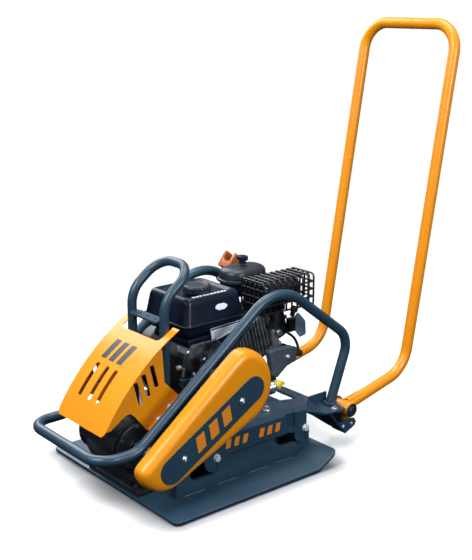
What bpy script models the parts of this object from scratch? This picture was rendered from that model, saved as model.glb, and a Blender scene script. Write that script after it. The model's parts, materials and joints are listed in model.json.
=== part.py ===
"""Forward plate compactor with a small petrol engine, modelled piece by piece.

Metres, +Z up. The front of the machine faces -Y, the belt side is +X, which is the left hand of
an operator who stands behind it. The origin is the centre of the base plate's underside.
"""

import math

import bmesh
import bpy
from mathutils import Matrix, Vector

for old_object in list(bpy.data.objects):
    bpy.data.objects.remove(old_object, do_unlink=True)

# ---------------------------------------------------------------- driving dimensions (metres)
GAP = 0.0003                      # clearance between pieces that touch
LEFT, RIGHT = 1, -1               # +X is the belt side, -X the starter side

PLATE_HALF_WIDTH = 0.250
PLATE_FRONT, PLATE_REAR = -0.236, 0.236
PLATE_THICK = 0.010
LIP_START, LIP_RISE = 0.178, 0.031
RIB_INNER, RIB_OUTER = 0.152, 0.162
RIB_FRONT, RIB_REAR = -0.169, 0.226
RIB_TOP = 0.112

EXCITER_Y, EXCITER_Z = -0.212, 0.118
EXCITER_HALF = 0.070
EXCITER_R = 0.058
CRANK_Y, CRANK_Z = -0.010, 0.236
SHAFT_R = 0.0125
BELT_X = 0.184
CRANK_PULLEY_R, EXCITER_PULLEY_R = 0.042, 0.030   # pitch radii, ratio 1.4

DECK_TOP = 0.134
DECK_SHEET = 0.006
DECK_HALF = 0.1705                # outer face of the side flanges
DECK_FRONT, DECK_REAR = -0.142, 0.252
FLANGE_LOW = 0.081
MOUNT_Z = 0.080
MOUNT_YS = {"front": -0.064, "rear": 0.205}
MOUNT_R = 0.024
LUG_R = 0.034
REAR_LOBE_Y, REAR_LOBE_Z, REAR_LOBE_R = 0.2005, 0.0735, 0.0295   # round end of the rear mount cheek

RAIL_X = 0.143
RAIL_R, RAIL_BORE = 0.0120, 0.0095
BUMPER_Y, BUMPER_Z = -0.350, 0.138
RAIL_SPLIT = Vector((RAIL_X, -0.190, 0.188))      # where bumper and side rail are joined
RAIL_LOW = Vector((RAIL_X, -0.255, 0.138))
RAIL_APEX = Vector((RAIL_X, 0.138, 0.440))
RAIL_HEEL = Vector((RAIL_X, 0.372, 0.264))
RAIL_FOOT = Vector((RAIL_X, 0.3147, 0.1089))

HOOP_X, HOOP_Y = 0.062, -0.122
HOOP_R, HOOP_BORE = 0.0108, 0.0085
HOOP_KNEE_Z = 0.426
HOOP_TOP_Y, HOOP_TOP_Z = -0.042, 0.490

PIVOT_Y, PIVOT_Z = 0.352, 0.088
SLEEVE_R, SLEEVE_BORE = 0.018, 0.0102
SLEEVE_IN, SLEEVE_OUT = 0.1312, 0.179
HANDLE_X = 0.1515
HANDLE_R, HANDLE_BORE = 0.0140, 0.0115
HANDLE_BEND = Vector((HANDLE_X, 0.5697, 0.1386))
HANDLE_TOP = Vector((HANDLE_X, 0.7176, 1.001))
FOLD_DEGREES = 63.0               # where the upright drops into the clip on the starter-side rail

HOOD_HALF = 0.095
HOOD_SIDE = 0.0845
HOOD_SHEET = 0.0025
HOOD_LOW, HOOD_HIGH = (-0.309, 0.169), (-0.106, 0.368)
HOOD_LOW_ANGLE, HOOD_HIGH_ANGLE = 60.0, 29.0

GUARD_IN, GUARD_OUT = 0.1715, 0.2055
GUARD_LOW = (-0.217, 0.126, 0.069)                # centre Y, centre Z, radius
GUARD_HIGH = (-0.013, 0.238, 0.088)
GUARD_SHOULDER = 0.021
GUARD_WALL = 0.0025
GUARD_RISE = 0.004                # how far the guard's upper side may stand above the rail's centre line
GUARD_BLEND = 0.006               # softness of the bend where the rail's line cuts the outline

FILLER = (0.020, 0.000)            # centre of the fuel filler, X and Y
OIL_NECK_FOOT = Vector((0.068, 0.050, 0.148))
OIL_NECK_WAY = Vector((0.165, 0.975, 0.150)).normalized()
OIL_NECK_LENGTH = 0.132
CYLINDER_TILT = 15.0              # degrees above the horizontal, towards the rear

# ---------------------------------------------------------------- materials


def material(name, colour, roughness, metallic=0.0):
    mat = bpy.data.materials.new(name)
    mat.use_nodes = True
    shader = mat.node_tree.nodes["Principled BSDF"]
    shader.inputs["Base Color"].default_value = (*colour, 1.0)
    shader.inputs["Roughness"].default_value = roughness
    shader.inputs["Metallic"].default_value = metallic
    mat.diffuse_color = (*colour, 1.0)
    return mat


ORANGE = material("orange_paint", (0.86, 0.33, 0.01), 0.35)
SLATE = material("slate_paint", (0.055, 0.09, 0.125), 0.40)
BLACK_STEEL = material("black_steel", (0.012, 0.014, 0.018), 0.45)
RUBBER = material("black_rubber", (0.015, 0.015, 0.015), 0.85)
ZINC = material("zinc_steel", (0.60, 0.62, 0.64), 0.30, 1.0)
ENGINE_BLACK = material("engine_black", (0.010, 0.012, 0.022), 0.25)
ALUMINIUM = material("cast_aluminium", (0.30, 0.30, 0.32), 0.45, 1.0)
DARK_PLASTIC = material("dark_plastic", (0.035, 0.045, 0.065), 0.40)
CAST_IRON = material("cast_iron", (0.05, 0.055, 0.065), 0.55, 0.6)
YELLOW = material("yellow_plastic", (0.80, 0.62, 0.05), 0.40)
AMBER = material("amber_polyurethane", (0.55, 0.16, 0.02), 0.45)

# ---------------------------------------------------------------- modelling helpers


def finish(name, bm, mat, smooth=35.0):
    """Turns a bmesh into a shaded object whose faces point out."""
    bmesh.ops.remove_doubles(bm, verts=bm.verts, dist=1e-6)
    bmesh.ops.dissolve_degenerate(bm, edges=bm.edges, dist=1e-7)
    bmesh.ops.recalc_face_normals(bm, faces=bm.faces)
    mesh = bpy.data.meshes.new(name)
    bm.to_mesh(mesh)
    bm.free()
    mesh.shade_smooth()
    mesh.set_sharp_from_angle(angle=math.radians(smooth))
    mesh.materials.append(mat)
    obj = bpy.data.objects.new(name, mesh)
    bpy.context.scene.collection.objects.link(obj)
    return obj


def combine(target, tools, operation):
    """Applies Boolean tools to an object and removes them."""
    for tool in tools:
        cut = target.modifiers.new("combine", "BOOLEAN")
        cut.operation = operation
        cut.object = tool
    bpy.context.view_layer.update()
    graph = bpy.context.evaluated_depsgraph_get()
    mesh = bpy.data.meshes.new_from_object(target.evaluated_get(graph))
    target.modifiers.clear()
    target.data = mesh
    for tool in tools:
        bpy.data.objects.remove(tool, do_unlink=True)
    return target


def cut(target, *tools):
    return combine(target, tools, "DIFFERENCE")


def weld(target, *tools):
    return combine(target, tools, "UNION")


def set_origin(obj, point):
    """Moves an object's origin to a point, such as one on its joint's axis."""
    obj.data.transform(Matrix.Translation(-Vector(point)))
    obj.location = point
    return obj


def along(axis, a, b, height):
    """A point from two in-plane coordinates and one along the axis."""
    return {"X": (height, a, b), "Y": (a, height, b), "Z": (a, b, height)}[axis]


def prism(name, outline, axis, low, high, mat=SLATE, bevel=0.0):
    """Extrudes a flat outline along an axis; X takes (y, z), Y takes (x, z) and Z takes (x, y)."""
    bm = bmesh.new()
    face = bm.faces.new([bm.verts.new(along(axis, a, b, low)) for a, b in outline])
    moved = bmesh.ops.extrude_face_region(bm, geom=[face])["geom"]
    shift = Vector(along(axis, 0.0, 0.0, high - low))
    bmesh.ops.translate(bm, verts=[v for v in moved if isinstance(v, bmesh.types.BMVert)], vec=shift)
    if bevel:
        bmesh.ops.bevel(bm, geom=bm.edges[:], offset=bevel, segments=1, affect="EDGES")
    return finish(name, bm, mat)


def block(name, low, high, mat=SLATE, bevel=0.0, segments=1):
    """A box between two corners, with its edges bevelled."""
    bm = bmesh.new()
    bmesh.ops.create_cube(bm, size=1.0)
    low, high = Vector(low), Vector(high)
    size = high - low
    bmesh.ops.scale(bm, verts=bm.verts, vec=size)
    bmesh.ops.translate(bm, verts=bm.verts, vec=(low + high) / 2)
    if bevel:
        bmesh.ops.bevel(bm, geom=bm.edges[:], offset=bevel, segments=segments, profile=0.5,
                        affect="EDGES")
    return finish(name, bm, mat)


def rounded(corners, radius, steps=4, closed=True):
    """Rounds the corners of a 2-D or 3-D path; radius is one value or one for each corner."""
    points = [Vector(p) if len(p) == 3 else Vector((p[0], p[1], 0.0)) for p in corners]
    flat = len(corners[0]) == 2
    count = len(points)
    radii = radius if isinstance(radius, (list, tuple)) else [radius] * count
    path = []
    for i, corner in enumerate(points):
        if radii[i] <= 0 or (not closed and i in (0, count - 1)):
            path.append(corner)
            continue
        before = points[i - 1] - corner
        after = points[(i + 1) % count] - corner
        half = before.angle(after) / 2
        reach = min(radii[i] / math.tan(half), 0.499 * before.length, 0.499 * after.length)
        bend = reach * math.tan(half)
        start = corner + before.normalized() * reach
        centre = corner + (before.normalized() + after.normalized()).normalized() * bend / math.sin(half)
        arm = start - centre
        end_arm = corner + after.normalized() * reach - centre
        sweep = arm.angle(end_arm)
        for k in range(steps + 1):
            t = k / steps
            path.append(centre + (arm * math.sin((1 - t) * sweep) + end_arm * math.sin(t * sweep))
                        / math.sin(sweep))
    return [(p.x, p.y) for p in path] if flat else path


def circle(a, b, radius, steps=24, start=0.0, sweep=360.0):
    """Points of a circle or an arc, in degrees; a full circle doesn't repeat its first point."""
    count = steps if sweep == 360.0 else steps + 1
    return [(a + radius * math.cos(math.radians(start + sweep * k / steps)),
             b + radius * math.sin(math.radians(start + sweep * k / steps))) for k in range(count)]


def loft(name, rings, mat=SLATE, closed=False, smooth=35.0):
    """Skins rings of equal point counts; closed joins the last ring to the first."""
    bm = bmesh.new()
    rows = [[bm.verts.new(p) for p in ring] for ring in rings]
    pairs = list(zip(rows, rows[1:])) + ([(rows[-1], rows[0])] if closed else [])
    for low, high in pairs:
        for k in range(len(low)):
            j = (k + 1) % len(low)
            bm.faces.new((low[k], low[j], high[j], high[k]))
    if not closed:
        bm.faces.new(rows[0][::-1])
        bm.faces.new(rows[-1])
    return finish(name, bm, mat, smooth)


def pipe(name, path, radius, bore, mat=SLATE, sides=13):
    """A bent tube, open at both ends, swept along a path without twist."""
    path = [Vector(p) for p in path]
    heading = (path[1] - path[0]).normalized()
    side = heading.orthogonal().normalized()
    outer, inner = [], []
    for i, point in enumerate(path):
        ahead = path[min(i + 1, len(path) - 1)] - path[max(i - 1, 0)]
        turn = heading.rotation_difference(ahead.normalized())
        side = (turn @ side).normalized()
        heading = ahead.normalized()
        other = heading.cross(side)
        spokes = [side * math.cos(math.tau * k / sides) + other * math.sin(math.tau * k / sides)
                  for k in range(sides)]
        stretch = 1.0
        if 0 < i < len(path) - 1:
            stretch = 1.0 / max(0.8, math.cos((path[i + 1] - point).angle(point - path[i - 1]) / 2))
        outer.append([point + s * radius * stretch for s in spokes])
        inner.append([point + s * bore * stretch for s in spokes])
    return loft(name, outer + inner[::-1], mat, closed=True, smooth=50.0)


def turned(name, profile, axis, centre, mat=ZINC, steps=20, smooth=35.0):
    """Turns a closed profile of (radius, height) points around an axis through a centre."""
    bm = bmesh.new()
    rows = []
    for k in range(steps):
        angle = math.tau * k / steps
        row = []
        for radius, height in profile:
            a, b = radius * math.cos(angle), radius * math.sin(angle)
            row.append(bm.verts.new(Vector(centre) + Vector(along(axis, a, b, height))))
        rows.append(row)
    for k in range(steps):
        here, there = rows[k], rows[(k + 1) % steps]
        for i in range(len(profile)):
            j = (i + 1) % len(profile)
            if profile[i][0] == 0.0 and profile[j][0] == 0.0:
                continue
            bm.faces.new((here[i], here[j], there[j], there[i]))
    return finish(name, bm, mat, smooth)


def rod(name, axis, centre, radius, low, high, mat=ZINC, steps=20):
    """A plain round bar between two heights along an axis."""
    return turned(name, [(0, low), (radius, low), (radius, high), (0, high)], axis, centre, mat, steps)


def ring(name, axis, centre, radius, bore, low, high, mat=ZINC, steps=24):
    """A plain round ring or bush."""
    profile = [(bore, low), (radius, low), (radius, high), (bore, high)]
    return turned(name, profile, axis, centre, mat, steps)


def mirrored(obj, name):
    """Copies a piece to the other side of the machine's centre plane."""
    mesh = obj.data.copy()
    mesh.transform(obj.matrix_world)
    mesh.transform(Matrix.Scale(-1.0, 4, (1.0, 0.0, 0.0)))
    mesh.flip_normals()
    copy = bpy.data.objects.new(name, mesh)
    bpy.context.scene.collection.objects.link(copy)
    return copy


def aimed(way):
    """The rotation that turns +Z to a direction."""
    return Vector(way).to_track_quat("Z", "Y").to_matrix().to_4x4()


def lip_top(y):
    """Height of the base plate's upper face at a station along it."""
    slope = LIP_RISE / (PLATE_REAR - LIP_START)
    return PLATE_THICK + max(0.0, y - LIP_START) * slope


# ---------------------------------------------------------------- base plate and its weldments


def base_plate():
    """The sole: flat from the front, with its rear strip bent up."""
    inset, chamfer = 0.002, 0.004
    front, rear = PLATE_FRONT, PLATE_REAR
    rings = []
    for z, side, nose in ((0.0, inset, chamfer), (chamfer, 0.0, 0.0), (PLATE_THICK, 0.0, 0.0)):
        half = PLATE_HALF_WIDTH - side
        corners = [(-half, front + nose), (half, front + nose), (half, rear - side), (-half, rear - side)]
        rings.append([(x, y, z) for x, y in rounded(corners, 0.014, 4)])
    plate = loft("base_plate", rings)
    bm = bmesh.new()
    bm.from_mesh(plate.data)
    bmesh.ops.bisect_plane(bm, geom=bm.verts[:] + bm.edges[:] + bm.faces[:], dist=1e-6,
                           plane_co=(0, LIP_START, 0), plane_no=(0, 1, 0))
    for v in bm.verts:
        v.co.z += lip_top(v.co.y) - PLATE_THICK
    bm.to_mesh(plate.data)
    bm.free()


def base_ribs():
    low = PLATE_THICK + GAP
    outline = [(RIB_FRONT, low), (LIP_START - 0.002, low), (RIB_REAR, lip_top(RIB_REAR) + GAP),
               (RIB_REAR, 0.070), (0.214, 0.076), (0.214, 0.060), (0.200, 0.048), (0.136, 0.048),
               (0.118, 0.064), (0.118, RIB_TOP), (-0.045, RIB_TOP), (-0.045, 0.050), (-0.057, 0.038),
               (-0.119, 0.038), (-0.131, 0.050), (-0.131, 0.080), (RIB_FRONT, 0.062)]
    left = prism("base_rib_left", outline, "X", RIB_INNER, RIB_OUTER)
    mirrored(left, "base_rib_right")


def mount_beams():
    """Inverted channels across the plate that carry the inner ends of the rubber mounts."""
    half, sheet = 0.108, 0.006
    top = 0.107
    for place, (front, rear) in {"front": (-0.096, -0.032), "rear": (0.173, 0.230)}.items():
        foot_front, foot_rear = lip_top(front) + GAP, lip_top(rear) + GAP
        section = [(front, foot_front), (front, top), (rear, top), (rear, foot_rear),
                   (rear - sheet, lip_top(rear - sheet) + GAP + 0.001), (rear - sheet, top - sheet),
                   (front + sheet, top - sheet), (front + sheet, lip_top(front + sheet) + GAP)]
        prism(f"mount_beam_{place}", section, "X", -half, half)


def rubber_mounts():
    """Rubber buffers lying across the machine, each with a steel stud to the deck's lug."""
    inner, outer = 0.1083, 0.1500
    stud_end = DECK_HALF - DECK_SHEET - GAP
    profile = [(0, inner), (MOUNT_R, inner), (MOUNT_R, outer), (0.007, outer), (0.007, stud_end),
               (0, stud_end)]
    for place, y in MOUNT_YS.items():
        left = turned(f"rubber_mount_{place}_left", profile, "X", (0, y, MOUNT_Z), RUBBER)
        mirrored(left, f"rubber_mount_{place}_right")


# ---------------------------------------------------------------- exciter


def exciter_housing():
    foot = PLATE_THICK + GAP
    front, rear = PLATE_FRONT + 0.006, -0.150
    arc = circle(EXCITER_Y, EXCITER_Z, EXCITER_R, 18, 200.0, -220.0)
    outline = [(front + 0.012, foot), *arc[2:-1], (rear - 0.004, foot)]
    body = prism("exciter_housing", outline, "X", -EXCITER_HALF, EXCITER_HALF, BLACK_STEEL)
    sole = block("sole", (-0.100, front, foot), (0.100, rear, foot + 0.012), bevel=0.002)
    fins = [block("fin", (x - 0.003, front + 0.004, foot + 0.008), (x + 0.003, rear - 0.001, 0.100))
            for x in (-0.045, 0.0, 0.045)]
    weld(body, sole, *fins)
    bore = rod("bore", "X", (0, EXCITER_Y, EXCITER_Z), 0.046, -0.2, 0.2, steps=28)
    cut(body, bore)


def exciter_covers():
    centre = (0, EXCITER_Y, EXCITER_Z)
    inside, outside = EXCITER_HALF + GAP, EXCITER_HALF + 0.010
    open_cover = [(0.0170, inside), (0.053, inside), (0.053, outside - 0.002), (0.051, outside),
                  (0.0170, outside)]
    turned("exciter_cover_left", open_cover, "X", centre, BLACK_STEEL, 28)
    closed_cover = [(0, inside), (0.053, inside), (0.053, outside - 0.002), (0.051, outside),
                    (0, outside)]
    blank = turned("blank", closed_cover, "X", centre, BLACK_STEEL, 28)
    mirrored(blank, "exciter_cover_right")
    bpy.data.objects.remove(blank, do_unlink=True)


def exciter_rotor():
    centre = (0, EXCITER_Y, EXCITER_Z)
    shaft = rod("exciter_shaft", "X", (0, 0, 0), SHAFT_R, -0.0660, 0.1955, ZINC, 20)
    shaft.location = centre
    bearing = ring("exciter_bearing_left", "X", centre, 0.0457, SHAFT_R + GAP, 0.050, 0.066, ZINC)
    mirrored(bearing, "exciter_bearing_right")
    hub = circle(0, 0, 0.021, 12, 180.0, -180.0)
    sector = circle(0, 0, 0.040, 16, 0.0, -180.0)
    weight = prism("eccentric_weight", hub + sector, "X", -0.046, 0.046, CAST_IRON)
    cut(weight, rod("bore", "X", (0, 0, 0), SHAFT_R + GAP, -0.1, 0.1))
    weight.location = centre


def pulley(name, y, z, pitch, bore, mat):
    """A single-groove pulley whose groove leaves clearance for the belt."""
    rim, root, half = pitch + 0.005, pitch - 0.006, 0.0100
    profile = [(bore, -half), (rim, -half), (rim, -0.0068), (root, -0.0042), (root, 0.0042),
               (rim, 0.0068), (rim, half), (bore, half)]
    wheel = turned(name, profile, "X", (0, 0, 0), mat, 28)
    wheel.location = (BELT_X, y, z)


def drive_belt():
    """A V-belt around both pulleys, on the pulleys' outer tangents."""
    low, high = Vector((EXCITER_Y, EXCITER_Z)), Vector((CRANK_Y, CRANK_Z))
    line = high - low
    lean = math.degrees(math.atan2(line.y, line.x))
    open_angle = math.degrees(math.asin((CRANK_PULLEY_R - EXCITER_PULLEY_R) / line.length))
    start = lean - 90.0 - open_angle
    sweep = 180.0 + 2 * open_angle

    def loop(offset):
        big = circle(high.x, high.y, CRANK_PULLEY_R + offset, 14, start, sweep)
        small = circle(low.x, low.y, EXCITER_PULLEY_R + offset, 12, start + sweep, 360.0 - sweep)
        return big + small

    section = [(0.0040, -0.0035), (0.0058, 0.0042), (-0.0058, 0.0042), (-0.0036, -0.0035)]
    rings = []
    for x_shift, offset in section:
        rings.append([(BELT_X + x_shift * 0.9, y, z) for y, z in loop(offset)])
    loft("drive_belt", rings, RUBBER, closed=True)


# ---------------------------------------------------------------- deck


def deck_plate():
    """The engine deck: one folded sheet with side flanges that end in mount lugs."""
    half, sheet, fold = DECK_HALF, DECK_SHEET, 0.012
    low, above = 0.040, DECK_TOP + 0.01
    outer = [(half, low), (half, DECK_TOP - fold * 0.7), (half - fold, DECK_TOP)]
    inner = [(half - sheet, low), (half - sheet, DECK_TOP - fold * 0.7 - sheet * 0.5),
             (half - fold - sheet * 0.5, DECK_TOP - sheet)]
    right_outer = [(-x, z) for x, z in outer]
    right_inner = [(-x, z) for x, z in inner]
    section = right_outer + outer[::-1] + inner + right_inner[::-1]
    deck = prism("deck_plate", section, "Y", DECK_FRONT, DECK_REAR)
    front_lug = circle(MOUNT_YS["front"], MOUNT_Z, LUG_R, 10, 180.0, 180.0)
    rear_lug = circle(REAR_LOBE_Y, REAR_LOBE_Z, REAR_LOBE_R, 10, 170.0, 190.0)
    side = [(DECK_FRONT - 0.01, above), (DECK_FRONT - 0.01, FLANGE_LOW), *front_lug, (-0.025, FLANGE_LOW),
            (0.152, FLANGE_LOW), (0.164, FLANGE_LOW - 0.004), *rear_lug, (0.2292, 0.116),
            (DECK_REAR + 0.01, 0.122), (DECK_REAR + 0.01, above)]
    plan = [(-half - 0.01, DECK_FRONT - 0.01), (half + 0.01, DECK_FRONT - 0.01), (half + 0.01, 0.200),
            (0.160, 0.218), (0.132, DECK_REAR), (-0.132, DECK_REAR), (-0.160, 0.218), (-half - 0.01, 0.200)]
    combine(deck, [prism("keep_side", side, "X", -0.3, 0.3)], "INTERSECT")
    combine(deck, [prism("keep_plan", plan, "Z", 0.0, 0.3)], "INTERSECT")
    opening = [(-0.094, 0.160), (0.094, 0.160), (0.112, 0.204), (0.118, 0.225), (-0.118, 0.225),
               (-0.112, 0.204)]
    window = prism("window", opening, "Z", 0.1, 0.2)
    notches = [block("notch", (s * 0.168 - 0.012, 0.143, 0.090), (s * 0.168 + 0.012, 0.171, 0.1275))
               for s in (LEFT, RIGHT)]
    holes = [rod("hole", "Z", (s * x, y, 0), 0.004, 0.1, 0.2, steps=10)
             for s in (LEFT, RIGHT) for x, y in ((0.118, 0.184), (0.107, 0.239))]
    cut(deck, window, *notches, *holes)


# ---------------------------------------------------------------- frame tubes


def frame_tubes():
    mirror = Vector((-1, 1, 1))
    shift = Vector((0, 0.5 * GAP, 0.4 * GAP))
    corner = Vector((RAIL_X, BUMPER_Y, BUMPER_Z))
    half_path = [RAIL_SPLIT - shift, RAIL_LOW, corner]
    corners = half_path + [p * mirror for p in half_path[::-1]]
    path = rounded(corners, [0, 0.060, 0.078, 0.078, 0.060, 0], 6, closed=False)
    pipe("bumper_tube", path, RAIL_R, RAIL_BORE)
    rail = rounded([RAIL_SPLIT + shift, RAIL_APEX, RAIL_HEEL, RAIL_FOOT], [0, 0.110, 0.055, 0], 7,
                   closed=False)
    left = pipe("side_rail_left", rail, RAIL_R, RAIL_BORE)
    mirrored(left, "side_rail_right")


def lifting_hoop():
    mirror = Vector((-1, 1, 1))
    foot = Vector((HOOP_X, HOOP_Y, DECK_TOP + GAP))
    knee = Vector((HOOP_X, HOOP_Y, HOOP_KNEE_Z))
    top = Vector((HOOP_X, HOOP_TOP_Y, HOOP_TOP_Z))
    half_path = [foot, knee, top]
    corners = half_path + [p * mirror for p in half_path[::-1]]
    pipe("lifting_hoop", rounded(corners, [0, 0.067, 0.050, 0.050, 0.067, 0], 6, closed=False),
         HOOP_R, HOOP_BORE)
    reach = HOOP_X - HOOP_R - GAP
    bar = block("hoop_cross_plate", (-reach, HOOP_Y - 0.015, 0.376), (reach, HOOP_Y + 0.015, 0.381))
    cut(bar, *[rod("hole", "Z", (x, HOOP_Y, 0), 0.0035, 0.3, 0.5, steps=10) for x in (-0.03, 0, 0.03)])


# ---------------------------------------------------------------- hood


def hood_arc(steps, offset=0.0, high_y=None):
    """Points of the hood's curved sheet in the side view, from its front edge upwards."""
    low_angle, high_angle = math.radians(HOOD_LOW_ANGLE), math.radians(HOOD_HIGH_ANGLE)
    chord = Vector(HOOD_HIGH) - Vector(HOOD_LOW)
    radius = chord.length / (2 * math.sin((low_angle - high_angle) / 2))
    centre = Vector(HOOD_LOW) - radius * Vector((-math.sin(low_angle), math.cos(low_angle)))
    points = []
    for k in range(steps + 1):
        angle = low_angle + (high_angle - low_angle) * k / steps
        point = centre + (radius - offset) * Vector((-math.sin(angle), math.cos(angle)))
        if high_y is None or point.x <= high_y:
            points.append((point.x, point.y))
    return points


def front_hood():
    sheet = HOOD_SHEET
    outer = hood_arc(18)
    inner = hood_arc(18, sheet)
    hood = prism("front_hood", outer + inner[::-1], "X", -HOOD_HALF, HOOD_HALF, ORANGE)
    notch_floor = prism("notch", rounded([(-0.073, -0.146), (0.073, -0.146), (0.073, 0.0),
                                          (-0.073, 0.0)], [0.012, 0.012, 0, 0]), "Z", 0.2, 0.6)
    corner_cuts = []
    for s in (LEFT, RIGHT):
        wedge = [(s * (HOOD_HALF - 0.014), 0.10), (s * (HOOD_HALF + 0.01), 0.10),
                 (s * (HOOD_HALF + 0.01), 0.192), (s * HOOD_HALF, 0.186), (s * (HOOD_HALF - 0.005), 0.174)]
        corner_cuts.append(prism("corner", wedge, "Y", -0.4, -0.25))
    slots = [block("slot", (x - 0.0065, -0.277, 0.1), (x + 0.0065, -0.222, 0.5))
             for x in (-0.049, -0.011, 0.022)]
    cut(hood, notch_floor, *slots, *corner_cuts)

    rim = hood_arc(18, sheet * 0.5, high_y=-0.148)
    panel = [*rim, (-0.144, 0.324), (-0.140, 0.252), (-0.101, 0.212), (-0.184, 0.153), (-0.190, 0.153),
             (-0.219, 0.190), (-0.232, 0.202), (-0.244, 0.200), (-0.282, 0.175), (-0.297, 0.175)]
    lean = math.tan(math.radians(14.0))
    flange = [(-0.186, 0.1515), (-0.101, 0.2120), (-0.1024, 0.2140), (-0.1874, 0.1535)]
    for s in (LEFT, RIGHT):
        low, high = sorted((s * HOOD_SIDE, s * (HOOD_SIDE - sheet)))
        side = prism("side", panel, "X", low, high, ORANGE)
        vents = []
        for y, z in ((-0.210, 0.242), (-0.189, 0.256), (-0.167, 0.272)):
            tall, wide = 0.026, 0.0055
            shift = lean * tall
            slot = [(y - wide - shift, z + tall), (y + wide - shift, z + tall),
                    (y + wide + shift, z - tall), (y - wide + shift, z - tall)]
            vents.append(prism("vent", slot, "X", low - 0.01, high + 0.01))
        cut(side, *vents)
        low, high = sorted((s * (HOOD_SIDE - sheet), s * 0.108))
        weld(hood, side, prism("flange", flange, "X", low, high, ORANGE))


def hood_bracket():
    """The dark bridge under the hood that its lower flanges are bolted to."""
    sheet = 0.004
    leg = [(-0.141, DECK_TOP + GAP), (-0.141, 0.150), (-0.184, 0.1500 - 0.0008), (-0.099, 0.2095),
           (-0.096, 0.2065), (-0.132, 0.1800), (-0.132, DECK_TOP + GAP)]
    bridge = prism("hood_bracket", leg, "X", 0.0870, 0.108)
    other = prism("leg", leg, "X", -0.108, -0.0870)
    reach = 0.0872
    rung = block("rung", (-reach, -0.1405, 0.1360), (reach, -0.1405 + sheet, 0.158))
    weld(bridge, other, rung)


# ---------------------------------------------------------------- belt guard


def guard_outline(inset):
    """The guard's outline around both pulleys, its upper side drawn in to lie beside the rail."""
    y_low, z_low, r_low = GUARD_LOW
    y_high, z_high, r_high = GUARD_HIGH
    line = Vector((y_high - y_low, z_high - z_low))
    lean = math.degrees(math.atan2(line.y, line.x))
    open_angle = math.degrees(math.asin((r_high - r_low) / line.length))
    start, sweep = lean - 90.0 - open_angle, 180.0 + 2 * open_angle
    big = circle(y_high, z_high, r_high - inset, 18, start, sweep)
    small = circle(y_low, z_low, r_low - inset, 16, start + sweep, 360.0 - sweep)
    side = [tuple(Vector(big[-1]).lerp(Vector(small[0]), k / 6)) for k in range(1, 6)]
    rail_foot = RAIL_LOW.yz
    rail_way = (RAIL_APEX.yz - rail_foot).normalized()
    square = Vector((-rail_way.y, rail_way.x))
    outline = []
    for point in map(Vector, big + side + small):
        over = (point - rail_foot).dot(square) - GUARD_RISE + inset
        drawn = GUARD_BLEND * math.log1p(math.exp(over / GUARD_BLEND))
        outline.append(tuple(point - square * drawn))
    return outline


def belt_guard():
    arc = [(GUARD_SHOULDER * math.sin(math.radians(a)), GUARD_SHOULDER * (1 - math.cos(math.radians(a))))
           for a in (0, 22.5, 45, 67.5, 90)]

    def skin(wall):
        outer_x = GUARD_OUT - wall
        stations = [(GUARD_IN, 0.0)] + [(outer_x - GUARD_SHOULDER + dx, di) for dx, di in arc]
        return [[(x, y, z) for y, z in guard_outline(inset + wall)] for x, inset in stations]

    bm = bmesh.new()
    outer, inner = skin(0.0), skin(GUARD_WALL)
    rows = [[bm.verts.new(p) for p in points] for points in outer[::-1] + inner]
    for low, high in zip(rows, rows[1:]):
        for k in range(len(low)):
            j = (k + 1) % len(low)
            bm.faces.new((low[k], low[j], high[j], high[k]))
    bm.faces.new(rows[0])
    bm.faces.new(rows[-1])
    finish("belt_guard", bm, ORANGE, 50.0)

    inner_edge = guard_outline(0.0)
    back = prism("guard_back_plate", inner_edge, "X", GUARD_IN - 0.0028, GUARD_IN - GAP, BLACK_STEEL)
    eyes = [rod("eye", "X", (0, y, z), 0.030, 0.1, 0.3, steps=16)
            for y, z in ((EXCITER_Y, EXCITER_Z), (CRANK_Y, CRANK_Z))]
    below_deck = block("below", (0.16, -0.148, 0.02), (0.18, 0.2, DECK_TOP + 0.002))
    cut(back, below_deck, *eyes)


def guard_label_strip():
    low, high = (-0.2095, 0.1062, 0.031), (0.0125, 0.2342, 0.030)
    line = Vector((high[0] - low[0], high[1] - low[1]))
    lean = math.degrees(math.atan2(line.y, line.x))
    outline = circle(high[0], high[1], high[2], 10, lean - 90.0, 180.0)
    outline += circle(low[0], low[1], low[2], 10, lean + 90.0, 180.0)
    prism("guard_label_strip", outline, "X", GUARD_OUT + GAP, GUARD_OUT + 0.0018)


# ---------------------------------------------------------------- handle, brackets and clip


def handle():
    pivot = Vector((HANDLE_X, PIVOT_Y, PIVOT_Z))
    mirror = Vector((-1, 1, 1))
    reach = (HANDLE_BEND - pivot).normalized()
    half_path = [pivot + reach * (SLEEVE_R + 0.0012), HANDLE_BEND, HANDLE_TOP]
    corners = half_path + [p * mirror for p in half_path[::-1]]
    path = rounded(corners, [0, 0.085, 0.068, 0.068, 0.085, 0], 6, closed=False)
    frame = pipe("handle_tube", path, HANDLE_R, HANDLE_BORE, ORANGE, 16)
    set_origin(frame, (0, PIVOT_Y, PIVOT_Z))

    centre = (0, PIVOT_Y, PIVOT_Z)
    sleeve = ring("handle_pivot_left", "X", centre, SLEEVE_R, SLEEVE_BORE, SLEEVE_IN, SLEEVE_OUT, ORANGE)
    stop = prism("stop", [(0.3445, 0.078), (0.3720, 0.078), (0.3700, 0.046), (0.3455, 0.0400)], "X",
                 0.152, 0.160, ORANGE)
    cut(stop, rod("bore", "X", centre, SLEEVE_BORE + 0.002, 0.1, 0.2))
    weld(sleeve, stop)
    other = mirrored(sleeve, "handle_pivot_right")
    for piece in (sleeve, other):
        set_origin(piece, centre)


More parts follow.
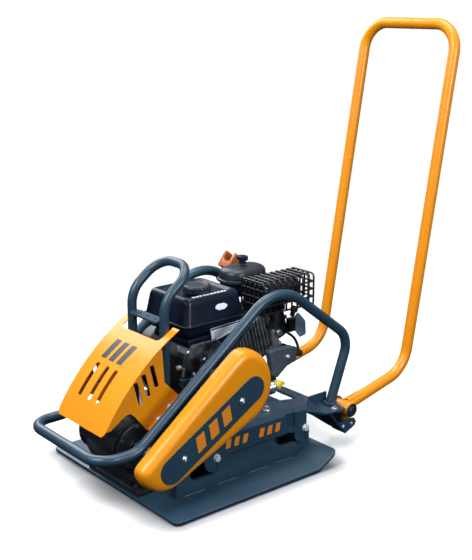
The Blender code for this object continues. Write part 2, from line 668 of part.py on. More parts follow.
def handle_brackets():
    top, sheet = 0.104, 0.005
    centre = (0, PIVOT_Y, PIVOT_Z)
    shelf = prism("handle_bracket_left", [(0.122, 0.2365), (0.160, 0.2365), (0.180, 0.262), (0.188, 0.300),
                                          (0.188, 0.322), (0.122, 0.328)], "Z", top - sheet, top)
    cheek_outline = [(0.270, top - 0.002), (0.272, 0.078), (0.330, 0.036), (0.372, 0.036), (0.380, 0.050)]
    cheek_outline += circle(PIVOT_Y, PIVOT_Z, 0.022, 8, 0.0, 130.0)
    cheek = prism("cheek", cheek_outline, "X", 0.124, 0.130)
    cut(cheek, rod("bore", "X", centre, 0.0102, 0.1, 0.2))
    slope = prism("slope", [(0.281, top - 0.002), (0.3450, 0.0270), (0.3405, 0.0270), (0.2765, top - 0.002)],
                  "X", 0.127, 0.171)
    lip = prism("lip", [(0.3420, 0.0270), (0.374, 0.0400), (0.379, 0.0500), (0.372, 0.0600),
                        (0.352, 0.0620), (0.318, 0.0580)], "X", 0.1655, 0.1705)
    weld(shelf, cheek, slope, lip)
    mirrored(shelf, "handle_bracket_right")


def pivot_bolts():
    """Shouldered bolts that the handle's sleeves turn on, with a nut inside each bracket."""
    profile = [(0, 0.1130), (0.0125, 0.1130), (0.0125, 0.1237), (0.0098, 0.1237), (0.0098, 0.1793),
               (0.0120, 0.1793), (0.0120, 0.1870), (0, 0.1870)]
    left = turned("pivot_bolt_left", profile, "X", (0, PIVOT_Y, PIVOT_Z), BLACK_STEEL)
    mirrored(left, "pivot_bolt_right")


def handle_clip():
    """Polyurethane clip on the starter-side rail that holds the folded handle's upright."""
    lean = math.atan2(HANDLE_TOP.y - HANDLE_BEND.y, HANDLE_TOP.z - HANDLE_BEND.z)
    fold = math.radians(FOLD_DEGREES)
    normal = Vector((math.cos(fold - lean), math.sin(fold - lean)))
    run = Vector((-normal.y, normal.x))
    arm = Vector((HANDLE_BEND.y - PIVOT_Y, HANDLE_BEND.z - PIVOT_Z))
    reach = arm.dot(Vector((math.cos(lean), -math.sin(lean))))
    seat = Vector((PIVOT_Y, PIVOT_Z)) + normal * reach + run * 0.290
    down = (RAIL_HEEL - RAIL_APEX).yz.normalized()
    square = Vector((-down.y, down.x))
    rail_gap = (seat - RAIL_APEX.yz).dot(square)

    def point(x, up, forward):
        flat = seat + square * up - down * forward
        return (x, flat.x, flat.y)

    width, half_length, trough = 0.0215, 0.012, HANDLE_R + 0.001
    section = [(-width, -0.030), (width, -0.030), (width, 0.009), (trough + 0.001, 0.013),
               (trough - 0.0005, 0.009)]
    section += [(trough * math.cos(math.radians(a)), trough * math.sin(math.radians(a)))
                for a in range(20, -201, -20)]
    section += [(-trough + 0.0005, 0.009), (-trough - 0.001, 0.013), (-width, 0.009)]
    clip = loft("handle_clip", [[point(-HANDLE_X + x, up, forward) for x, up in section]
                                for forward in (-half_length, half_length)], AMBER)
    loops = []
    for radius in (0.0172, RAIL_R + 0.0009):
        loops.append([[point(-RAIL_X + a, b - rail_gap, forward) for a, b in circle(0, 0, radius, 20)]
                      for forward in (-half_length, half_length)])
    collar = loft("collar", [loops[0][0], loops[0][1], loops[1][1], loops[1][0]], AMBER, closed=True)
    stalk = loft("stalk", [[point(-RAIL_X + x, up, forward) for x, up in
                            ((-0.007, -rail_gap + 0.014), (0.007, -rail_gap + 0.014), (0.007, -0.028),
                             (-0.007, -0.028))] for forward in (-half_length + 0.002, half_length - 0.002)],
                 AMBER)
    weld(clip, stalk, collar)


# ---------------------------------------------------------------- engine


def tilted(t, height, x=0.0):
    """A point at a distance along the cylinder's axis and a height square to it."""
    lean = math.radians(CYLINDER_TILT)
    return (x, CRANK_Y + t * math.cos(lean) - height * math.sin(lean),
            CRANK_Z + t * math.sin(lean) + height * math.cos(lean))


def tilted_ring(t, half_x, low, high, chamfer, x_mid=0.0):
    """A rectangle with cut corners, square to the cylinder's axis."""
    c = chamfer
    corners = [(half_x, low + c), (half_x, high - c), (half_x - c, high), (-half_x + c, high),
               (-half_x, high - c), (-half_x, low + c), (-half_x + c, low), (half_x - c, low)]
    return [tilted(t, h, x_mid + x) for x, h in corners]


def crankcase():
    top = 0.318
    outline = [(-0.090, DECK_TOP + GAP), (0.082, DECK_TOP + GAP), (0.082, 0.155), (0.060, 0.170),
               (0.062, 0.212), (0.032, 0.300), (0.010, top), (-0.060, top), (-0.084, 0.290),
               (-0.084, 0.160), (-0.090, 0.150)]
    case = prism("crankcase", outline, "X", -0.068, 0.080, ALUMINIUM, 0.003)
    boss = rod("boss", "X", (0, CRANK_Y, CRANK_Z), 0.040, 0.070, 0.100, ALUMINIUM)
    neck = rod("neck", "Z", (0, 0, 0), 0.0110, 0.0, OIL_NECK_LENGTH, ALUMINIUM, 16)
    neck.data.transform(Matrix.Translation(OIL_NECK_FOOT) @ aimed(OIL_NECK_WAY))
    weld(case, boss, neck)
    bore = rod("bore", "X", (0, CRANK_Y, CRANK_Z), SHAFT_R + 0.0012, -0.2, 0.2)
    cut(case, bore)


def cylinder():
    rings = []
    t = 0.080
    for k in range(9):
        big = 0.053 if k < 6 else 0.057
        rings += [tilted_ring(t, 0.040, -0.040, 0.040, 0.012), tilted_ring(t, big, -big, big, 0.014),
                  tilted_ring(t + 0.0035, big, -big, big, 0.014),
                  tilted_ring(t + 0.0035, 0.040, -0.040, 0.040, 0.012)]
        t += 0.0155
    rings += [tilted_ring(t, 0.040, -0.040, 0.040, 0.012), tilted_ring(t, 0.054, -0.054, 0.054, 0.012),
              tilted_ring(t + 0.020, 0.054, -0.054, 0.054, 0.012)]
    loft("finned_cylinder", rings, ALUMINIUM)
    cover = [tilted_ring(t + 0.0203, 0.048, -0.043, 0.043, 0.012),
             tilted_ring(t + 0.048, 0.047, -0.042, 0.042, 0.012),
             tilted_ring(t + 0.056, 0.040, -0.035, 0.035, 0.012)]
    loft("valve_cover", cover, ENGINE_BLACK)
    outline = [(0.181, 0.1895), (0.197, 0.180), (0.232, 0.205), (0.2585, 0.2105), (0.261, 0.242),
               (0.2485, 0.2495), (0.200, 0.2545), (0.169, 0.252), (0.1765, 0.224)]
    prism("cylinder_shroud", outline, "X", 0.0675, 0.0735, DARK_PLASTIC)


def spark_plug():
    plug = turned("spark_plug", [(0, 0.0), (0.008, 0.0), (0.008, 0.016), (0.0065, 0.018), (0.0065, 0.042),
                                 (0.009, 0.046), (0.009, 0.064), (0.004, 0.070), (0, 0.070)], "Z",
                  (0, 0, 0), DARK_PLASTIC, 14)
    plug.matrix_world = Matrix.Translation((0.040, 0.2475, 0.2400)) @ aimed((0.05, 0.85, -0.45))


def blower_housing():
    """The pressed fan cover with the recoil starter under its domed end."""
    centre = (0, CRANK_Y, CRANK_Z)
    rim, wall = 0.0880, 0.0025
    profile = [(rim, -0.0690), (rim, -0.1080), (rim - 0.010, -0.1150), (0.068, -0.1170), (0.062, -0.1275),
               (0.020, -0.1290), (0.000, -0.1290), (0.000, -0.1265), (0.060, -0.1252), (0.066, -0.1148),
               (rim - 0.011, -0.1126), (rim - wall, -0.1070), (rim - wall, -0.0690)]
    turned("blower_housing", profile, "X", centre, ENGINE_BLACK, 32)


def crank_train():
    centre = (0, CRANK_Y, CRANK_Z)
    shaft = rod("crankshaft", "X", (0, 0, 0), SHAFT_R, -0.110, 0.1965, ZINC, 20)
    shaft.location = centre
    bore = SHAFT_R + GAP
    wheel = turned("flywheel", [(bore, -0.102), (0.030, -0.102), (0.036, -0.094), (0.068, -0.094),
                                (0.074, -0.104), (0.080, -0.104), (0.080, -0.078), (bore, -0.078)], "X",
                   (0, 0, 0), CAST_IRON, 28)
    wheel.location = centre
    pulley("clutch_pulley", CRANK_Y, CRANK_Z, CRANK_PULLEY_R, bore, CAST_IRON)
    pulley("exciter_pulley", EXCITER_Y, EXCITER_Z, EXCITER_PULLEY_R, bore, CAST_IRON)


def tank_ring(z, inset):
    """One level of the tank's plan, drawn in all round by the inset."""
    low_x, high_x, low_y, high_y = -0.094, 0.078, -0.077, 0.104
    corner = 0.017 - inset * 0.3
    low_x, high_x = low_x + inset, high_x - inset
    low_y, high_y = low_y + inset, high_y - inset
    corners = [(low_x, low_y), (high_x, low_y), (high_x, high_y), (low_x, high_y)]
    return [(x, y, z) for x, y in rounded(corners, corner, 4)]


def fuel_tank():
    """A pressed tank: two shells on a seam flange, hollow, with an open filler hole."""
    filler = FILLER
    heights = [(0.326, 0.020), (0.334, 0.010), (0.3560, 0.004), (0.3562, 0.000), (0.3605, 0.000),
               (0.3607, 0.004), (0.4080, 0.011), (0.4160, 0.0135), (0.4195, 0.019)]
    tank = loft("fuel_tank", [tank_ring(z, i) for z, i in heights], ENGINE_BLACK)
    hollow = loft("hollow", [tank_ring(z, i) for z, i in ((0.3300, 0.022), (0.338, 0.013), (0.365, 0.010),
                                                         (0.400, 0.015), (0.410, 0.019), (0.4150, 0.028))])
    neck = ring("neck", "Z", (*filler, 0), 0.024, 0.019, 0.4100, 0.4235, ENGINE_BLACK)
    weld(tank, neck)
    cut(tank, hollow, rod("filler", "Z", (*filler, 0), 0.0195, 0.4, 0.5))
    cap = turned("fuel_cap", [(0, 0.4240), (0.0245, 0.4240), (0.0245, 0.4200), (0.0320, 0.4200),
                              (0.0330, 0.4220), (0.0330, 0.4330), (0.0290, 0.4375), (0, 0.4385)], "Z",
                 (*filler, 0), ENGINE_BLACK, 28)
    set_origin(cap, (*filler, 0.42))


def air_cleaner():
    def ring_at(z, inset):
        corners = [(-0.098 + inset, 0.134 + inset), (-0.010 - inset, 0.134 + inset),
                   (-0.010 - inset, 0.262 - inset), (-0.098 + inset, 0.262 - inset)]
        return [(x, y, z) for x, y in rounded(corners, 0.038 - inset * 0.5, 5)]

    case = [ring_at(z, i) for z, i in ((0.3650, 0.016), (0.3850, 0.006), (0.4040, 0.003))]
    loft("air_cleaner_base", case, ENGINE_BLACK)
    lid = [ring_at(z, i) for z, i in ((0.4043, 0.000), (0.4140, 0.000), (0.4250, 0.003), (0.4340, 0.010),
                                      (0.4380, 0.022))]
    loft("air_cleaner_cover", lid, DARK_PLASTIC)
    spot = (-0.054, 0.198)
    knob = turned("air_cleaner_knob", [(0, 0.4383), (0.0075, 0.4383), (0.0075, 0.4450), (0.0130, 0.4470),
                                       (0.0130, 0.4560), (0.0090, 0.4590), (0, 0.4590)], "Z", (*spot, 0),
                  ENGINE_BLACK, 14)
    wings = block("wings", (spot[0] - 0.016, spot[1] - 0.004, 0.4480),
                  (spot[0] + 0.016, spot[1] + 0.004, 0.4570))
    weld(knob, wings)
    set_origin(knob, (*spot, 0.4383))


def muffler():
    def ring_at(z, inset):
        corners = [(0.003 + inset, 0.164 + inset), (0.069 - inset, 0.164 + inset),
                   (0.069 - inset, 0.293 - inset), (0.003 + inset, 0.293 - inset)]
        return [(x, y, z) for x, y in rounded(corners, 0.026 - inset * 0.5, 4)]

    loft("muffler", [ring_at(z, i) for z, i in ((0.3540, 0.014), (0.3620, 0.003), (0.3740, 0.0),
                                                (0.3900, 0.0), (0.4020, 0.004), (0.4070, 0.014))],
         CAST_IRON)
    low, high = Vector((-0.0072, 0.152, 0.342)), Vector((0.079, 0.316, 0.423))
    sheet, bar = 0.0028, 0.0055
    cage = block("muffler_guard", low, high, BLACK_STEEL, 0.003)
    inside = block("inside", low + Vector((sheet, sheet, -0.02)), high - Vector((sheet, sheet, sheet)))
    under = block("under", (-0.02, 0.10, 0.33), (0.062, 0.35, 0.3560))
    cut(cage, inside, under)
    size = high - low
    wide, long, tall = (size.x - 3 * bar) / 2, (size.y - 5 * bar) / 4, (size.z - 3 * bar) / 2
    xs = [low.x + bar + k * (wide + bar) for k in range(2)]
    ys = [low.y + bar + k * (long + bar) for k in range(4)]
    zs = [low.z + bar + k * (tall + bar) for k in range(2)]
    openings = [block("top", (x, y, 0.40), (x + wide, y + long, 0.44)) for x in xs for y in ys]
    openings += [block("side", (-0.1, y, z), (0.2, y + long, z + tall)) for y in ys for z in zs]
    openings += [block("end", (x, 0.10, z), (x + wide, 0.40, z + tall)) for x in xs for z in zs]
    cut(cage, *openings)


def carburettor():
    body = block("carburettor", (-0.092, 0.1080, 0.300), (-0.062, 0.150, 0.345), ALUMINIUM, 0.003)
    bowl = rod("bowl", "Z", (-0.077, 0.129, 0), 0.017, 0.270, 0.305, ALUMINIUM)
    weld(body, bowl)


def lever(name, pivot, arm, width, mat, boss=0.008):
    """A flat control lever that turns about an X axis; arm is its tip relative to the pivot."""
    direction = Vector(arm).normalized()
    across = Vector((-direction.y, direction.x)) * width / 2
    tip = Vector(arm)
    outline = circle(0, 0, boss, 12)
    body = prism(name, outline, "X", -0.003, 0.003, mat)
    blade = prism("blade", [tuple(across), tuple(-across), tuple(tip - across), tuple(tip + across)], "X",
                  -0.0015, 0.0015, mat)
    grip = prism("grip", circle(tip.x, tip.y, width * 0.75, 10), "X", -0.004, 0.004, mat)
    weld(body, blade, grip)
    body.location = pivot


def controls():
    lever("throttle_lever", (-0.1020, 0.046, 0.3420), (-0.030, 0.018), 0.008, BLACK_STEEL)
    lever("choke_lever", (-0.1050, 0.128, 0.3400), (0.004, 0.024), 0.007, DARK_PLASTIC, 0.006)
    lever("fuel_cock_lever", (-0.1050, 0.124, 0.3120), (0.024, 0.000), 0.007, DARK_PLASTIC, 0.006)
    switch = rod("engine_switch", "Y", (0, 0, 0), 0.011, -0.004, 0.0, ENGINE_BLACK, 16)
    weld(switch, block("blade", (-0.003, -0.012, -0.010), (0.003, -0.003, 0.010)))
    switch.location = (-0.030, -0.0843, 0.262)
    cap = turned("oil_dipstick", [(0, 0), (0.0125, 0), (0.0125, 0.010), (0.0090, 0.012), (0.0090, 0.016),
                                  (0.0035, 0.016), (0.0035, 0.022), (0, 0.022)], "Z", (0, 0, 0), YELLOW, 14)
    tab = block("tab", (-0.0082, -0.002, 0.011), (0.0082, 0.002, 0.026))
    weld(cap, tab)
    neck_end = OIL_NECK_FOOT + OIL_NECK_WAY * (OIL_NECK_LENGTH + GAP)
    cap.matrix_world = Matrix.Translation(neck_end) @ aimed(OIL_NECK_WAY)
    bar = block("starter_grip", (-0.008, -0.007, -0.032), (0.008, 0.007, 0.032), DARK_PLASTIC, 0.004)
    stem = rod("stem", "Y", (0, 0, 0), 0.006, -0.013, -0.004, DARK_PLASTIC, 12)
    weld(bar, stem)
    bar.location = (-0.1190, 0.0820, 0.1900)


# ---------------------------------------------------------------- assembly

base_plate()
base_ribs()
mount_beams()
rubber_mounts()
exciter_housing()
exciter_covers()
exciter_rotor()
drive_belt()
deck_plate()
frame_tubes()
lifting_hoop()
front_hood()
hood_bracket()
belt_guard()
guard_label_strip()
handle()
handle_brackets()
pivot_bolts()
handle_clip()
crankcase()
cylinder()
spark_plug()
blower_housing()
crank_train()
fuel_tank()
air_cleaner()
muffler()
carburettor()
controls()
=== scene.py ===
"""Looks of the plate compactor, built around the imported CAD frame.

Metres, +Z up, the front of the machine at -Y and the belt side at +X.
"""

import json
from math import asin, atan2, cos, degrees, exp, log1p, pi, radians, sin, tan, tau

import bmesh
import bpy
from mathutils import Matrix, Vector


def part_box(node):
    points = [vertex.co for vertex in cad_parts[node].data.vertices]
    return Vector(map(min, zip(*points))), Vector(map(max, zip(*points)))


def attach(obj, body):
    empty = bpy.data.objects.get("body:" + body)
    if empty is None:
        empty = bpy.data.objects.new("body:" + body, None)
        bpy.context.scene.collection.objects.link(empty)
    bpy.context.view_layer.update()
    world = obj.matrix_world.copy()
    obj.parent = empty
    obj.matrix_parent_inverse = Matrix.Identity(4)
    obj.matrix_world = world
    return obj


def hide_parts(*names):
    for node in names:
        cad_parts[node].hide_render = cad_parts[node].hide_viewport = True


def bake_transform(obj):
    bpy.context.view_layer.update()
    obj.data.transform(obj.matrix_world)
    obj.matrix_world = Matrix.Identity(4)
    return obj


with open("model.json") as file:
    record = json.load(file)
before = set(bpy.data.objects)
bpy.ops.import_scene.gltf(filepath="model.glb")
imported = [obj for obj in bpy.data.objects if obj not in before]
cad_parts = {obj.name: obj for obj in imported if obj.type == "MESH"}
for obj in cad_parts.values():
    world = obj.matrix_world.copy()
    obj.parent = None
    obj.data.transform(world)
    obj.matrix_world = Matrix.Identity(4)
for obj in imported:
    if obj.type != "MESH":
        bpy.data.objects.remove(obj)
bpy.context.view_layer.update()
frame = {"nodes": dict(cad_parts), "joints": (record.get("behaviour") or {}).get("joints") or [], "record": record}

BODY_OF = {n: body for body, names in frame["record"]["behaviour"]["bodies"].items() for n in names}
JOINT_AT = {j["child"]: Vector(j["pos_m"]) for j in frame["joints"]}
SIDES = (1, -1)           # the left side is +X
NAMED_SIDES = ((1, "left"), (-1, "right"))
MIRROR = Vector((-1, 1, 1))
UP = (0, 0, 1)
BOLT_SMOOTH = 32.0        # shading angle, degrees

# ---------------------------------------------------------------- materials


class Tree:
    """A short way to add nodes to a material and to join them."""

    def __init__(self, tree):
        self.tree = tree

    def add(self, kind, inputs=None, **settings):
        made = self.tree.nodes.new(kind)
        for key, value in settings.items():
            setattr(made, key, value)
        for key, value in (inputs or {}).items():
            if isinstance(value, bpy.types.NodeSocket):
                self.tree.links.new(value, made.inputs[key])
            else:
                made.inputs[key].default_value = value
        return made

    def noise(self, place, scale, detail=3.0, rough=0.55):
        return self.add("ShaderNodeTexNoise", {"Vector": place, "Scale": scale, "Detail": detail,
                                               "Roughness": rough}).outputs["Fac"]

    def span(self, value, low, high, to_low=0.0, to_high=1.0, **settings):
        limits = {"Value": value, "From Min": low, "From Max": high, "To Min": to_low, "To Max": to_high}
        return self.add("ShaderNodeMapRange", limits, **settings).outputs["Result"]

    def times(self, a, b):
        return self.add("ShaderNodeMath", {0: a, 1: b}, operation="MULTIPLY").outputs[0]

    def vector(self, operation, a, b=(0.0, 0.0, 0.0)):
        made = self.add("ShaderNodeVectorMath", {0: a, 1: b}, operation=operation)
        return made.outputs["Value" if operation == "LENGTH" else "Vector"]

    def mix(self, factor, a, b):
        made = self.add("ShaderNodeMix", data_type="RGBA")
        for socket, value in zip((made.inputs[0], made.inputs[6], made.inputs[7]), (factor, a, b)):
            if isinstance(value, bpy.types.NodeSocket):
                self.tree.links.new(value, socket)
            else:
                socket.default_value = value if isinstance(value, float) else (*value, 1.0)
        return made.outputs[2]


def surface(name, light, dark, rough, metal=0.0, coat=0.0, mottle=9.0, grain=1400.0, relief=0.1,
            peel=0.0, worn=None, dust=0.1, rough_spread=0.06, coat_rough=0.1, specular=0.5):
    """A finish: mottled colour, rubbed edges, dust on top faces, grain in roughness and relief."""
    mat = bpy.data.materials.new(name)
    mat.use_nodes = True
    tree = Tree(mat.node_tree)
    shader = mat.node_tree.nodes["Principled BSDF"]
    place = tree.add("ShaderNodeTexCoord").outputs["Object"]
    geometry = tree.add("ShaderNodeNewGeometry")
    clouds = tree.noise(place, mottle, 4.0, 0.6)
    fine = tree.noise(place, grain, 2.0)
    colour = tree.mix(tree.span(clouds, 0.35, 0.65), dark, light)
    if worn:
        edge = tree.span(geometry.outputs["Pointiness"], 0.53, 0.62)
        patch = tree.span(tree.noise(place, 60.0, 5.0, 0.7), 0.42, 0.62)
        colour = tree.mix(tree.times(edge, patch), colour, worn)
    up = tree.add("ShaderNodeSeparateXYZ", {"Vector": geometry.outputs["Normal"]}).outputs["Z"]
    film = tree.times(tree.span(up, 0.55, 1.0), tree.span(tree.noise(place, 24.0, 5.0, 0.65), 0.4, 0.75))
    colour = tree.mix(tree.times(film, dust), colour, (0.42, 0.4, 0.36))
    mat.node_tree.links.new(colour, shader.inputs["Base Color"])
    smudge = tree.noise(place, mottle * 4.0, 4.0, 0.6)
    gloss = tree.span(smudge, 0.3, 0.7, rough - rough_spread, rough + rough_spread)
    mat.node_tree.links.new(gloss, shader.inputs["Roughness"])
    height = fine
    if peel:
        skin = tree.noise(place, 210.0, 1.0)
        height = tree.add("ShaderNodeMath", {0: fine, 1: tree.times(skin, peel)}, operation="ADD").outputs[0]
    bump = tree.add("ShaderNodeBump", {"Height": height, "Strength": relief, "Distance": 0.0006})
    mat.node_tree.links.new(bump.outputs["Normal"], shader.inputs["Normal"])
    for key, value in (("Metallic", metal), ("Coat Weight", coat), ("Coat Roughness", coat_rough),
                       ("Specular IOR Level", specular)):
        shader.inputs[key].default_value = value
    return mat


SLATE = ((0.019, 0.053, 0.088), (0.016, 0.046, 0.078), 0.4)

# the record's material slots: lighter and darker colour, roughness, and what isn't surface()'s default
FINISH = {name: surface(name, *basics, **extra) for name, basics, extra in (
    ("orange_paint", ((0.86, 0.305, 0.006), (0.83, 0.28, 0.005), 0.34),
     dict(coat=0.28, mottle=5.0, grain=500.0, relief=0.018, peel=1.2, dust=0.02, coat_rough=0.16,
          specular=0.35)),
    ("slate_paint", SLATE,
     dict(coat=0.22, mottle=4.0, grain=500.0, relief=0.03, peel=1.5, dust=0.01, coat_rough=0.26,
          specular=0.42)),
    ("black_steel", ((0.011, 0.016, 0.024), (0.008, 0.011, 0.017), 0.4),
     dict(coat=0.2, peel=2.0, worn=(0.04, 0.05, 0.065), dust=0.02, coat_rough=0.25)),
    ("engine_black", ((0.005, 0.009, 0.024), (0.004, 0.007, 0.018), 0.3),
     dict(coat=0.1, relief=0.02, peel=1.5, dust=0.0, rough_spread=0.03, coat_rough=0.16, specular=0.22)),
    ("black_rubber", ((0.018, 0.018, 0.02), (0.008, 0.008, 0.009), 0.78), dict(dust=0.12, relief=0.25)),
    ("zinc_steel", ((0.86, 0.88, 0.92), (0.66, 0.69, 0.74), 0.34),
     dict(metal=1.0, mottle=70.0, dust=0.02, rough_spread=0.08)),
    ("cast_aluminium", ((0.04, 0.046, 0.058), (0.014, 0.017, 0.023), 0.42),
     dict(metal=0.6, mottle=26.0, grain=620.0, relief=0.35, worn=(0.22, 0.24, 0.27), dust=0.03)),
    ("cast_iron", ((0.034, 0.037, 0.044), (0.012, 0.014, 0.018), 0.5),
     dict(metal=0.6, mottle=30.0, grain=500.0, relief=0.4, worn=(0.12, 0.13, 0.14), dust=0.05)),
    ("dark_plastic", ((0.013, 0.021, 0.033), (0.01, 0.016, 0.026), 0.4),
     dict(grain=1000.0, relief=0.2, dust=0.02)),
    ("yellow_plastic", ((0.86, 0.66, 0.05), (0.74, 0.54, 0.03), 0.34), dict(coat=0.2, dust=0.03)),
    ("amber_polyurethane", ((0.52, 0.145, 0.018), (0.36, 0.09, 0.01), 0.38), dict(coat=0.15, dust=0.04)))}

LABEL, LABEL_INK, LABEL_BLUE = (
    surface(name, *basics, dust=0.0, relief=0.04) for name, *basics in (
        ("label_film", (0.93, 0.96, 1.0), (0.88, 0.92, 0.98), 0.35),
        ("label_ink", (0.3, 0.36, 0.46), (0.25, 0.31, 0.41), 0.4),
        ("label_blue", (0.02, 0.045, 0.2), (0.015, 0.035, 0.16), 0.38)))
ORANGE_INK = surface("orange_ink", (0.8, 0.255, 0.02), (0.76, 0.24, 0.017), 0.42, coat=0.1, dust=0.0)
SLATE_INK = surface("slate_ink", (0.05, 0.064, 0.072), (0.043, 0.056, 0.064), 0.45, coat=0.1, dust=0.0)
SLATE_WELD = surface("slate_weld", *SLATE, coat=0.3, dust=0.0, coat_rough=0.3)
SHIELD = surface("shield_paint", (0.17, 0.26, 0.36), (0.14, 0.22, 0.31), 0.36, coat=0.2, dust=0.0)
COWL_GREY = surface("cowl_grey", (0.075, 0.1, 0.125), (0.045, 0.062, 0.082), 0.44, mottle=30.0, dust=0.02)
FIN_GREY = surface("fin_grey", (0.34, 0.36, 0.4), (0.1, 0.108, 0.125), 0.4, metal=0.7, mottle=40.0,
                   worn=(0.55, 0.57, 0.62), dust=0.0)
BRIGHT_ZINC = surface("bright_zinc", (0.84, 0.88, 0.95), (0.7, 0.74, 0.82), 0.36, metal=0.25, coat=0.3,
                      mottle=60.0, dust=0.0)
MESH_BLACK = surface("mesh_black", (0.008, 0.01, 0.014), (0.004, 0.005, 0.008), 0.34, coat=0.3, dust=0.0)
# painted shade: a near-black colour laid on openings and gaps where shade falls
PAINTED_SHADE = surface("opening_shadow", (0.006, 0.006, 0.007), (0.003, 0.003, 0.004), 0.8, dust=0.0)

# ---------------------------------------------------------------- shape helpers


def along(axis, a, b, height):
    """A point from two in-plane coordinates and one along the axis."""
    return Vector({"X": (height, a, b), "Y": (a, height, b), "Z": (a, b, height)}[axis])


def rect(a0, b0, a1, b1):
    return [(a0, b0), (a1, b0), (a1, b1), (a0, b1)]


def slanted(a, b, wide, tall, slant):
    """A leaning bar around (a, b), from its half width, half height and half lean."""
    return [(a - wide - slant, b - tall), (a + wide - slant, b - tall), (a + wide + slant, b + tall),
            (a - wide + slant, b + tall)]


def disc(radius, height, start=0.0):
    """The profile of a plain cylinder, for add_lathe."""
    return [(0, start), (radius, start), (radius, height), (0, height)]


def circle(a, b, radius, steps=32, start=0.0, sweep=360.0):
    """Points of a circle or an arc, in degrees; a full circle doesn't repeat its first point."""
    count = steps if sweep == 360.0 else steps + 1
    return [(a + radius * cos(radians(start + sweep * k / steps)),
             b + radius * sin(radians(start + sweep * k / steps))) for k in range(count)]


def rounded(corners, radius, steps=8, closed=True):
    """Rounds the corners of a 2-D or 3-D path; radius is one value or one for each corner."""
    points = [Vector(p) if len(p) == 3 else Vector((p[0], p[1], 0.0)) for p in corners]
    flat = len(corners[0]) == 2
    count = len(points)
    radii = radius if isinstance(radius, (list, tuple)) else [radius] * count
    path = []
    for i, corner in enumerate(points):
        if radii[i] <= 0 or (not closed and i in (0, count - 1)):
            path.append(corner)
            continue
        before = points[i - 1] - corner
        after = points[(i + 1) % count] - corner
        half = before.angle(after) / 2
        reach = min(radii[i] / tan(half), 0.499 * before.length, 0.499 * after.length)
        bend = reach * tan(half)
        start = corner + before.normalized() * reach
        centre = corner + (before.normalized() + after.normalized()).normalized() * bend / sin(half)
        arm = start - centre
        end_arm = corner + after.normalized() * reach - centre
        sweep = arm.angle(end_arm)
        for k in range(steps + 1):
            t = k / steps
            path.append(centre + (arm * sin((1 - t) * sweep) + end_arm * sin(t * sweep))
                        / sin(sweep))
    return [(p.x, p.y) for p in path] if flat else path


def spline(points, steps=10):
    """A smooth line through all the points."""
    points = [Vector(p) for p in points]
    padded = [2 * points[0] - points[1], *points, 2 * points[-1] - points[-2]]
    line = []
    for a, b, c, d in zip(padded, padded[1:], padded[2:], padded[3:]):
        for k in range(steps):
            t = k / steps
            line.append(0.5 * (2 * b + (c - a) * t + (2 * a - 5 * b + 4 * c - d) * t * t
                               + (3 * b - a - 3 * c + d) * t ** 3))
    return [*line, points[-1]]


def add_rings(bm, rings, closed=False):
    """Skins rings of equal point counts; closed joins the last ring to the first."""
    rows = [[bm.verts.new(p) for p in ring] for ring in rings]
    pairs = list(zip(rows, rows[1:])) + ([(rows[-1], rows[0])] if closed else [])
    for low, high in pairs:
        for k in range(len(low)):
            j = (k + 1) % len(low)
            bm.faces.new((low[k], low[j], high[j], high[k]))
    if not closed:
        bm.faces.new(rows[0][::-1])
        bm.faces.new(rows[-1])


def add_prism(bm, outline, axis, low, high):
    """Extrudes a flat outline along an axis; X takes (y, z), Y takes (x, z) and Z takes (x, y)."""
    add_rings(bm, [[along(axis, a, b, h) for a, b in outline] for h in (low, high)])


def add_block(bm, corner, opposite):
    low, high = zip(*(sorted(pair) for pair in zip(corner, opposite)))
    add_prism(bm, rect(*low[:2], *high[:2]), "Z", low[2], high[2])


def spokes_of(way):
    way = Vector(way).normalized()
    side = way.orthogonal().normalized()
    return side, way.cross(side), way


def add_lathe(bm, profile, centre, way, steps=32, closed=False, lobes=0, lobe_depth=0.0):
    """Turns (radius, height) points around an axis; a solid's profile starts and ends at radius 0."""
    side, other, way = spokes_of(way)
    centre = Vector(centre)
    rows = []
    for radius, height in profile:
        middle = centre + way * height
        if radius < 1e-6:
            rows.append([bm.verts.new(middle)])
            continue
        row = []
        for k in range(steps):
            a = tau * k / steps
            reach = radius * (1.0 + lobe_depth * cos(lobes * a)) if lobes else radius
            row.append(bm.verts.new(middle + side * reach * cos(a) + other * reach * sin(a)))
        rows.append(row)
    pairs = list(zip(rows, rows[1:])) + ([(rows[-1], rows[0])] if closed else [])
    for low, high in pairs:
        if len(low) == 1 and len(high) == 1:
            continue
        for k in range(steps):
            j = (k + 1) % steps
            if len(low) == 1:
                bm.faces.new((low[0], high[j], high[k]))
            elif len(high) == 1:
                bm.faces.new((low[k], low[j], high[0]))
            else:
                bm.faces.new((low[k], low[j], high[j], high[k]))


def add_tube(bm, path, radius, sides=32):
    """A bent round bar, swept without twist."""
    path = [Vector(p) for p in path]
    heading = (path[1] - path[0]).normalized()
    side = heading.orthogonal().normalized()
    rings = []
    for i, point in enumerate(path):
        ahead = path[min(i + 1, len(path) - 1)] - path[max(i - 1, 0)]
        turn = heading.rotation_difference(ahead.normalized())
        side = (turn @ side).normalized()
        heading = ahead.normalized()
        other = heading.cross(side)
        turns = [tau * k / sides for k in range(sides)]
        rings.append([point + (side * cos(a) + other * sin(a)) * radius for a in turns])
    add_rings(bm, rings)


def add_bead(bm, centre, way, radius, size=0.003, ripples=26):
    """A weld bead: a rippled ring laid around a tube's end."""
    side, other, way = spokes_of(way)
    steps, sides = ripples * 4, 10
    rings = []
    for k in range(steps):
        a = tau * k / steps
        spoke = side * cos(a) + other * sin(a)
        fat = size * (1.0 + 0.16 * cos(ripples * a) + 0.07 * sin(5 * a))
        middle = Vector(centre) + spoke * radius
        rings.append([middle + spoke * fat * cos(b) + way * fat * sin(b)
                      for b in (tau * i / sides for i in range(sides))])
    add_rings(bm, rings, closed=True)


